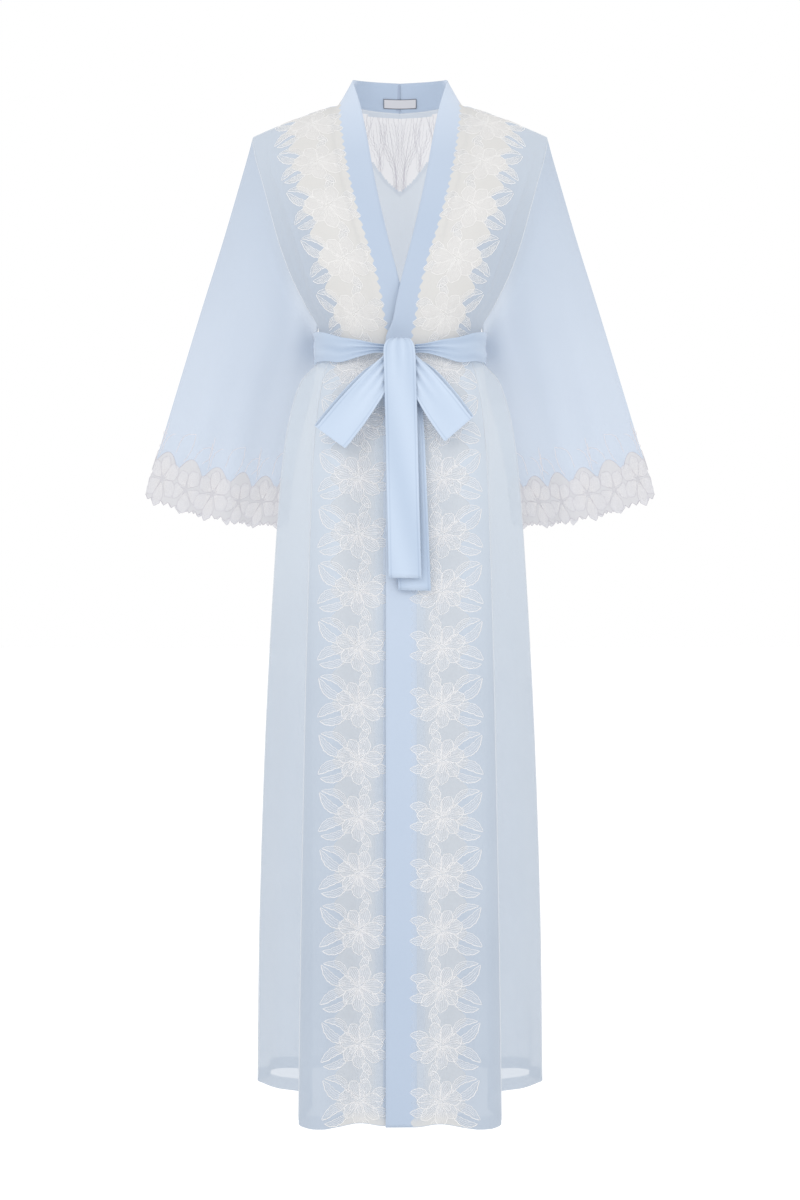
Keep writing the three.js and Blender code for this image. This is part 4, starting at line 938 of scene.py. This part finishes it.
def front_lace(surface):
    top = surface.up[-1] - 1
    cloth = lambda up: np.interp(up, surface.up, surface.widths) - LACE_MARGIN
    reach = lambda up: np.minimum(cloth(up), np.interp(up, *zip(*LACE_REACH)))
    inside = lambda up, out: (up > 0.5) & (up < top) & (out < reach(up))
    density = lambda up: np.clip(smooth((up - 1010) / 90) + 0.8 * smooth((24 - up) / 20), 0, 1)
    lace = Lace(surface, inside, density)
    repeats = int(np.ceil((top + REPEAT) / REPEAT))
    heights = np.arange(1, top, 3.0)
    outer = NET_OUTER + NET_WAVE * np.cos(4 * np.pi * (heights - CENTRE[0]) / REPEAT)
    inner = NET_INNER - SCALLOP * np.abs(np.sin(np.pi * heights / SCALLOP_PITCH))
    outer = np.minimum(outer, reach(heights) - 0.5)
    shares = np.linspace(0, 1, GROUND_COLUMNS)
    flat = np.stack(
        [inner[:, None] + (outer - inner)[:, None] * shares, np.repeat(heights[:, None], GROUND_COLUMNS, 1)], -1
    )
    # the net is closer over the flowers than over the band
    base = 0.1 + 0.55 * smooth((flat[..., 0] - 6) / 12)
    lace.fill(
        lace.ground, flat.reshape(-1, 2), grid_faces(len(heights), GROUND_COLUMNS), LACE_LIFT - 0.3, base.reshape(-1)
    )
    for k in range(-1, repeats + 1):
        lace.motif(FLOWER_BLADES, FLOWER_CORDS, (CENTRE[1], CENTRE[0] + REPEAT * k))
    return lace


def dress_lace(node, name, net, net_look, parts, **sheet):
    """Dresses the parts of a lace, then its net with the parts on it."""
    pieces = [dress(airy(found.piece(f"{name}_{part}")), look, "lace", node) for part, found, look in parts]
    dress(airy(net.piece(f"{name}_net")), net_look, "lace", node, held="hung", with_pieces=pieces, **sheet)


for side, grid, normals in FRONTS:
    surface = Surface(grid, normals, BAND_STEPS, *LACE_SPAN)
    lace = front_lace(surface)
    dress_lace(
        f"lace_front_{side}", f"lace_{side}", lace.ground, NET,
        [("petals", lace.petals, PETALS), ("cords", lace.cords, THREAD), ("stitches", lace.stitches, STITCH)],
        flat=(0.12, 1.5), rests_on=[f"front_{side}_cloth", f"band_{side}_cloth"], area=0.11,
    )

# ---- The cuff lace ----
# One repeat round a cuff, in millimetres round and up: two flowers, scallops below and lobes above.
CUFF_REPEAT = 87
CUFF_LOW, CUFF_SCALLOP, CUFF_SCALLOPS = -6.5, 4.5, 6
CUFF_TOP, CUFF_LOBE = 33, 16
CUFF_BLOOMS = [((22, 20), bloom(6, 25, 17, 30, 6, 0.9)), ((66, 17), bloom(5, 21, 17, 54, 5, 0.9))]
CUFF_SPRAYS = [
    stem(*spray)[0] for spray in (
        ((30, 50), 72, 42, -55, 20), ((46, 44), 48, 34, 50), ((62, 49), 80, 36, -95), ((8, 47), 105, 30, -95),
        ((74, 48), 40, 30, 60, -20), ((84, 42), 66, 38, 45, 25),
    )
]
CUFF_LEVEL = 24  # the lace's edge lies this far up from the end of the sleeve's grid, on its outer line
CUFF_RISE = 22  # and this much further on its inner fold
CUFF_HEIGHT = 1.38
CUFF_LIFT = 0.5
CUFF_ROWS, CUFF_COLUMNS, CUFF_DENSITY = 13, 321, 0.75
CUFF_SPAN = 0, 560
CUFF_CORD_SIZE = 0.4
SPRAY_LIFT, SPRAY_SIZE = 1.0, 0.5
CUFF_BLADES = [(centre, prepared(petals)) for centre, petals in CUFF_BLOOMS]
CUFF_COILS = [curve(line * 0.8) for line in CORDS[:6]]
CUFF_LINES = [wavy(curve(line), k, 0.3) for k, line in enumerate(CUFF_SPRAYS)]

for side in ("left", "right"):
    grid, out = sleeves[side]
    ring = np.concatenate([grid, grid[:, :1]], axis=1)[::-1]
    ring_normals = np.concatenate([out, out[:, :1]], axis=1)[::-1]
    surface = Surface(ring, ring_normals, 0, *CUFF_SPAN)
    around = surface.widths[int(np.searchsorted(surface.up, CUFF_LEVEL))]
    repeats = int(round(around / CUFF_REPEAT))
    stretch = around / (repeats * CUFF_REPEAT)
    # heights are kept true all round, although the sleeve is shorter at its inner fold
    steps = np.linalg.norm(np.diff(ring[: len(ring) // 3], axis=0), axis=-1).sum(0)
    places = run_of(ring[0])
    fold = places[TOP - UNDERARM]

    def placed(flat):
        near = 1 - np.abs(np.clip(flat[:, 0], 0, 2 * fold) / fold - 1)
        true = steps[0] / np.interp(flat[:, 0], places, steps)
        return np.stack([flat[:, 0], CUFF_LEVEL + CUFF_RISE * near + CUFF_HEIGHT * true * flat[:, 1]], -1)

    within = lambda up, out: (up > 1) & (out >= 0) & (out <= around)
    density = lambda up: np.full(len(up), CUFF_DENSITY)
    lace, sprays = (Lace(surface, within, density, placed, CUFF_CORD_SIZE) for _ in range(2))
    columns = np.linspace(0, around, CUFF_COLUMNS)
    turn = np.pi * columns / (CUFF_REPEAT * stretch)
    edges = [
        CUFF_LOW + CUFF_SCALLOP * np.abs(np.cos(CUFF_SCALLOPS * turn)),
        CUFF_TOP + CUFF_LOBE * np.abs(np.sin(2 * turn)),
    ]
    lace.net(*edges, columns, CUFF_ROWS, CUFF_LIFT)
    for edge in edges:
        lace.edge_cord(columns, edge, 0.9)
    for k in range(-1, repeats + 1):
        start = CUFF_REPEAT * k * stretch
        for (across, up), petals in CUFF_BLADES:
            lace.motif(petals, CUFF_COILS, (start + across * stretch, up))
        for line in CUFF_LINES:
            sprays.draw(sprays.cords, line + [start, 0], SPRAY_LIFT, SPRAY_SIZE)
    parts = [
        ("petals", lace.petals, CUFF_PETALS), ("cords", lace.cords, CUFF_CORD),
        ("stitches", lace.stitches, CUFF_STITCH), ("sprays", sprays.cords, SPRAY),
    ]
    node = f"lace_cuff_{side}"
    rests = [f"sleeve_{side}_cloth"]
    dress_lace(node, node, lace.ground, CUFF_NET, parts, flat=(0.46, 0.09), rests_on=rests, area=0.028)

# ---- The yoke ----
YOKE_ROWS, YOKE_DENSITY = 22, 0.6
YOKE_EDGE = 2  # the yoke's lace starts this far below the seams
# Veins fan up from the yoke's points: foot across, foot below the seam, first and last top across, how many.
YOKE_FANS = [(1, 111, 2, 34, 13), (62, 83, 38, 90, 16), (100, 57, 92, 140, 12), (28, 84, 20, 52, 9)]
upper = slice(UNDERARM + 2, TOP + 1)
seam_height = lambda x: np.interp(x, seam_line[:, 0], seam_line[:, 2])
surface = UpperBack(back[upper], back_normals[upper])


def in_yoke(up, out):
    below = seam_height(out) - up
    return (np.abs(out) < YOKE_HALF) & (below > YOKE_EDGE) & (below < yoke_depth(out))


yoke = Lace(surface, in_yoke, lambda up: np.full(len(up), YOKE_DENSITY))
columns = np.linspace(1 - YOKE_HALF, YOKE_HALF - 1, YOKE_HALF)
top_edge = seam_height(columns) - YOKE_EDGE - 0.5
low_edge = seam_height(columns) - yoke_depth(columns) + 0.5
yoke.net(low_edge, top_edge, columns, YOKE_ROWS, LACE_LIFT)
yoke.edge_cord(columns, low_edge + 0.8)
for side in (-1, 1):
    for fan, (foot, depth, first, last, count) in enumerate(YOKE_FANS):
        base = seam_height(np.array([side * foot]))[0] - depth
        for k in range(count):
            share = k / (count - 1)
            tip = first + (last - first) * share
            height = seam_height(np.array([side * tip]))[0] - 5 - 9 * (k % 3)
            start = foot + (share - 0.3 * (fan != 0)) * 8
            bow = 3 * np.sin(2 * np.pi * share)
            rise = lambda part: base + part * (height - base)
            way = [
                (start, base + 14 * abs(share - 0.4)), (start + 0.1 * (tip - foot) + bow, rise(0.35)),
                (start + 0.5 * (tip - foot) - bow, rise(0.7)), (tip, height),
            ]
            way = wavy(curve(np.array(way) * (side, 1), 2.2), 31 * fan + 2 * k + (side > 0), 0.7)
            yoke.draw(yoke.stitches, way, LACE_LIFT - 0.4, STITCH_SIZE * (1.2 + 0.6 * (k % 2)))
            if k % 3 == 0:
                yoke.draw(yoke.cords, way, LACE_LIFT + 0.4, CORD * 0.8, SIDES + 1)
parts = [("cords", yoke.cords, YOKE_CORD), ("stitches", yoke.stitches, YOKE_STITCH)]
dress_lace(
    "lace_yoke", "lace_yoke", yoke.ground, YOKE_NET, parts, flat=(0.3, 0.12), rests_on=["back_cloth"], area=0.022
)

# ---- The sash ----
# Half of the sash's outside round the waist, from the centre front to the centre back.
WAIST = [
    *[(0, -106), (22, -105.5), (40, -103.5), (60, -99), (79, -90), (94, -76.5), (106, -60), (115, -38)],
    *[(121, -17), (124.5, 2), (124, 24), (117, 44), (104, 62), (87, 76), (66, 87), (36, 94), (0, 95.5)],
]
STRAP_START = 0.95
# Its middle and its width in front, at distances from the centre line: it sinks and narrows to the knot.
STRAP_FRONT = [(21, 1070, 11), (36, 1071, 13), (60, 1071, 24), (83, 1071, 34), (105, 1078, 39), (124, 1085, 43)]
KNOT = {"y": -114.5, "z": 1066, "half": (19, 9, 14)}
GATHER_REACH = 88
SASH_THICKNESS = 1.3


def strap_at(base):
    """Height of the strap's middle and its width at each point round the waist."""
    table = np.array(STRAP_FRONT, float)
    reach = np.clip(np.abs(base[:, 0]), table[0, 0], table[-1, 0])
    found = through(table[:, 1:], np.interp(reach, table[:, 0], np.arange(len(table))))
    behind = base[:, 1] > 0
    return np.where(behind, WAIST_HEIGHT, found[:, 0]), np.where(behind, SASH_WIDTH, found[:, 1])


def strap():
    """The strap round the waist, with pleats that run together towards the knot, and its painted shade: darker in the
    pleats' hollows, lighter on their crests.
    """
    half = np.array(WAIST, float)
    loop = np.concatenate([half, half[1:-1][::-1] * [-1, 1], half[:1]])
    last = len(loop) - 1
    at = np.linspace(STRAP_START, last - STRAP_START, 260)
    base = through(loop, at)
    along = unit(through(loop, at + 0.1) - through(loop, at - 0.1))
    out = np.stack([along[:, 1], -along[:, 0]], -1)
    near = np.where(base[:, 1] > 0, 0, 1 - smooth((np.abs(base[:, 0]) - loop[1, 0]) / GATHER_REACH))
    middle, width = strap_at(base)
    c = np.linspace(0, 1, 41)
    run = np.cumsum(np.linalg.norm(np.diff(base, axis=0, prepend=base[:1]), axis=1))[:, None]
    pleats = np.cos(2 * np.pi * 3 * c + 0.4)[None] * (0.3 + 0.9 * near[:, None])
    pleats += 0.55 * np.sin(2 * np.pi * (1.6 * c[None] + run / 210)) * (1 - 0.5 * near[:, None])
    height = middle[:, None] + width[:, None] * (c - 0.5)[None]
    xy = base[:, None] + out[:, None] * (pleats + 0.4)[..., None]
    # painted shade in the hollows of the pleats, painted light on their crests
    tones = 0.75 - 0.22 * pleats
    return np.concatenate([xy, height[..., None]], -1), tones


# Shares across a strip, close together at the row of stitching inside each edge.
EDGE_SHARES = [0, 0.02, 0.045, 0.07, 0.095, 0.12]
ACROSS = np.array([*EDGE_SHARES, *np.linspace(0.16, 0.84, 19), *[1 - share for share in EDGE_SHARES[::-1]]])
STITCHED = 0.07  # share from each edge to its row of stitching


def strip(path, steps):
    """Points of a strip whose middle runs through a path of (x, y, z, width, lean), and its stops."""
    path = np.array(path, float)
    t = stops([steps] * (len(path) - 1))
    rows = through(path, t)
    lean = rows[:, 4]
    sideways = np.stack([np.cos(lean), 0 * lean, np.sin(lean)], -1)
    return rows[:, None, :3] + sideways[:, None] * ((ACROSS - 0.5)[None] * rows[:, 3:4])[..., None], t


def strip_normals(grid):
    normals = unit(np.cross(np.gradient(grid, axis=1), np.gradient(grid, axis=0)))
    if normals[0, 0, 1] > 0:
        normals = -normals
    for r in range(1, len(normals)):
        flip = (normals[r] * normals[r - 1]).sum(-1) < 0
        normals[r][flip] *= -1
    return normals


def sash_piece(name, grid, gathers, tone_and_shade):
    """A strip of the sash with lengthwise gathers, by point, and a sunk row of stitching at each edge, both with
    painted shade.
    """
    normals = strip_normals(grid)
    sunk = np.exp(-(((np.minimum(ACROSS, 1 - ACROSS) - STITCHED) / 0.018) ** 2))[None]
    grid = grid + normals * (gathers - 0.3 * sunk)[..., None]
    # painted shade in the gathers' hollows and along the sunk stitching, painted light on the crests
    layers = {"tone_and_shade": tone_and_shade - 0.3 * gathers + 0.55 * sunk}
    return folded_piece(name, grid, strip_normals(grid), SASH_THICKNESS, layers)


waist, waist_pleat_shade = strap()
waist_normals = normals_of(waist, waist * [1, 1, 0])
piece = folded_piece(
    "sash_waist_cloth", waist - waist_normals * SASH_THICKNESS / 2, waist_normals, SASH_THICKNESS, {"tone_and_shade": waist_pleat_shade}
)
dress(
    piece, SASH, "sash", "sash_waist",
    flat=(0.043, 0.66), held="gathered", rests_on=["front_left_cloth", "front_right_cloth", "back_cloth"],
)

D = np.radians(1)
TAIL_FRONT = [
    *[(-1, -119, 1082, 18, 0), (-1, -125.5, 1078, 33, 0), (-1, -129, 1067, 42, 0), (0, -131.5, 1040, 43, 0)],
    *[(2, -134, 960, 43, -D), (4, -138, 870, 43, -D), (7, -144, 750, 44, -D)],
]
TAIL_BACK = [
    *[(4, -110.5, 1047, 30, 0), (6, -114, 1020, 40, 0), (11, -123, 960, 43, -D), (15, -130, 870, 43, -D)],
    (20, -137, 733, 44, -D),
]
# One loop: share of the way out, depth as a share of LOOP_DEPTH, and width.
LOOP_PATH = [
    *[(0, -0.4, 25), (0.3, -0.5, 37), (0.65, -0.5, 45), (0.97, -0.4, 47), (1, 0, 47), (0.97, 0.4, 47)],
    *[(0.65, 0.5, 45), (0.3, 0.5, 37), (0.06, 0.4, 26)],
]
LOOP_DEPTH = 9
LOOP_PEEK = 5  # how far a loop's back shows past its front along its outer edge
LOOP_ROOT = {"x": 13, "y": -121, "z": 1048, "lean": 54, "reach": 0.35}
LOOP_TIPS = {"left": ((79, -131, 955), 41), "right": ((-94, -131, 944), -36)}
# The back tail is painted darker than the front one, as shade where it hangs behind it.
for name, path, tone_and_shade in (("front", TAIL_FRONT, 0.35), ("back", TAIL_BACK, 0.6)):
    grid, _ = strip(path, 16)
    # two long soft folds that drift across the tail, and gathers below the knot
    fade = 1 - smooth((path[0][2] - grid[..., 2]) / 75)
    drift = grid[..., 2] / 260
    gathers = 0.7 * fade * np.cos(2 * np.pi * 3 * ACROSS + 0.8)[None]
    gathers = gathers + 0.7 * (1 - fade) * np.sin(2 * np.pi * (ACROSS[None] * 0.8 + drift))
    piece = sash_piece(f"sash_tail_{name}_cloth", grid, gathers, tone_and_shade)
    dress(piece, SASH, "sash", f"sash_tail_{name}", flat=(0.043, 0.36), held="hung", rests_on=["sash_knot_cloth"])
for name, (tip, lean) in LOOP_TIPS.items():
    side = np.sign(tip[0])
    root = np.array([side * LOOP_ROOT["x"], LOOP_ROOT["y"], LOOP_ROOT["z"]])
    path = []
    for share, depth, width in LOOP_PATH:
        x, y, z = root + (np.array(tip) - root) * share
        turned = smooth(share / LOOP_ROOT["reach"])
        angle = np.radians(side * LOOP_ROOT["lean"] * (1 - turned) + lean * turned)
        aside = side * LOOP_PEEK * (depth + 0.5) * smooth(share / LOOP_ROOT["reach"])
        x, z = x + aside * np.cos(angle), z + aside * np.sin(angle)
        path.append((x, y + depth * LOOP_DEPTH, z, width + 2, angle))
    grid, at = strip(path, 14)
    shares = np.interp(at, np.arange(len(LOOP_PATH)), [share for share, *_ in LOOP_PATH])
    gathers = 1.3 * (1 - smooth(shares / 0.7))[:, None] * np.cos(2 * np.pi * 3.2 * ACROSS + side)[None]
    swell = 0.5 * np.sin(np.pi * np.clip(shares, 0, 1))[:, None]
    gathers = gathers + swell * np.sin(2 * np.pi * 0.9 * ACROSS + 2 * side)[None]
    # the loop is painted darker towards its root, as shade where it goes into the knot
    piece = sash_piece(f"sash_loop_{name}_cloth", grid, gathers, 0.15 + 0.25 * (1 - smooth(shares / 0.3))[:, None])
    dress(piece, SASH, "sash", f"sash_loop_{name}", flat=(0.043, 0.32), held="folded", rests_on=["sash_knot_cloth"])


def knot():
    theta = np.linspace(0.02, np.pi - 0.02, 45)
    phi = np.linspace(0, 2 * np.pi, 61)[:-1]
    ny = np.cos(theta)[:, None]
    x, y = np.sin(theta)[:, None] * np.cos(phi)[None], np.sin(theta)[:, None] * np.sin(phi)[None]
    puff = lambda v: np.sign(v) * np.abs(v) ** 0.75
    crease = 1 + 0.065 * np.cos(5 * np.pi * ny) * (1 - ny**2)
    half_x, half_y, half_z = KNOT["half"]
    across, deep = puff(x) * crease * half_x, puff(y) * crease * half_y + KNOT["y"]
    grid = np.stack([across, deep, KNOT["z"] + half_z * ny + 0 * x], -1)
    rows, around = x.shape
    faces = grid_faces(rows, around, closed=True)
    faces += [tuple(range(around))[::-1], tuple(range((rows - 1) * around, rows * around))]
    points = grid.reshape(-1, 3)
    # painted shade in the knot's creases and painted light on their swells
    tones = (0.5 - 5 * (crease - 1) + 0 * x).reshape(-1)
    return mesh_piece("sash_knot_cloth", points, faces, points[:, [0, 2]] / 1000, {"tone_and_shade": tones})


dress(knot(), SASH, "sash", "sash_knot")

# ---- The neck: its seam at the centre back, and the bare label ----
(side_x, side_y, _), _ = NECK[-2]
(_, centre_y, centre_z), (_, seam_y, seam_z) = NECK[-1]
inside_band = lambda x, z: (
    seam_y + (centre_y - seam_y) * (z - seam_z) / (centre_z - seam_z) - (centre_y - side_y) / side_x**2 * x**2
)
TAG_HALF, TAG_LOW, TAG_HIGH = 24, 1449, 1462
xs, zs = np.meshgrid(np.linspace(-TAG_HALF, TAG_HALF, 49), np.linspace(TAG_LOW, TAG_HIGH, 27))
grid = np.stack([xs, inside_band(xs, zs) - 2.6, zs], -1)
rim = np.minimum(TAG_HALF - np.abs(xs), (TAG_HIGH - TAG_LOW) / 2 - np.abs(zs - (TAG_LOW + TAG_HIGH) / 2))
label = folded_piece(
    "neck_tag_cloth", grid, np.broadcast_to([0, -1.0, 0], grid.shape), 0.7, {"tone_and_shade": 1 - smooth((rim - 0.4) / 0.5)}
)
dress(label, TAG, "tag", "neck_tag", flat=(0.048, 0.013), held="laid", rests_on=["band_left_cloth", "band_right_cloth"])
xs, zs = np.meshgrid(np.linspace(-8.5, -0.5, 9), np.linspace(seam_z + 2, centre_z - 2, 20))
grid = np.stack([xs, inside_band(xs, zs) - 1.9, zs], -1)
dress(sheet_piece("band_seam", grid), SEAM_SHADE, "band", "band_right")


# ---- The room ----
def stage_mesh(name, points, faces, look):
    mesh = bpy.data.meshes.new(name)
    mesh.from_pydata(points, [], faces)
    mesh.materials.append(look)
    in_scene(name, mesh)


pale = bpy.data.materials.new("pale_floor")
pale.use_nodes = True
shader = pale.node_tree.nodes["Principled BSDF"]
shader.inputs["Base Color"].default_value = (0.97, 0.97, 0.97, 1)
shader.inputs["Roughness"].default_value = 0.9
shader.inputs["Emission Color"].default_value = (1, 1, 1, 1)
shader.inputs["Emission Strength"].default_value = 0.12
FLOOR_Z, FLOOR_HALF = -1.6, 30
corners = [(x * FLOOR_HALF, y * FLOOR_HALF, FLOOR_Z) for x, y in ((-1, -1), (1, -1), (1, 1), (-1, 1))]
stage_mesh("floor", corners, [(0, 1, 2, 3)], pale)

world = bpy.data.worlds.new("studio")
bpy.context.scene.world = world
world.use_nodes = True
world.node_tree.nodes["Background"].inputs["Color"].default_value = (1, 1, 1, 1)
world.node_tree.nodes["Background"].inputs["Strength"].default_value = 1.0


def softbox(name, place, target, size, power):
    light = bpy.data.lights.new(name, "AREA")
    light.energy, light.size = power, size
    box = in_scene(name, light)
    box.location = place
    box.rotation_euler = (Vector(target) - Vector(place)).to_track_quat("-Z", "Y").to_euler()


# name, place, target, size in metres, watts
softbox("key", (-1.6, -2.6, 1.2), (0, 0, -0.6), 1.8, 22)
softbox("fill", (2.0, -2.4, 0.2), (0, 0, -0.7), 2.0, 12)

LENS, EYE = 53.8, (0, -2.6, -0.72)
camera = bpy.data.cameras.new("camera")
camera.sensor_width = 36
camera.lens = LENS
camera.clip_end = 100
eye = in_scene("camera", camera)
eye.location = EYE
eye.rotation_euler = (np.pi / 2, 0, 0)
bpy.context.scene.camera = eye
bpy.context.scene.view_settings.view_transform = "Standard"
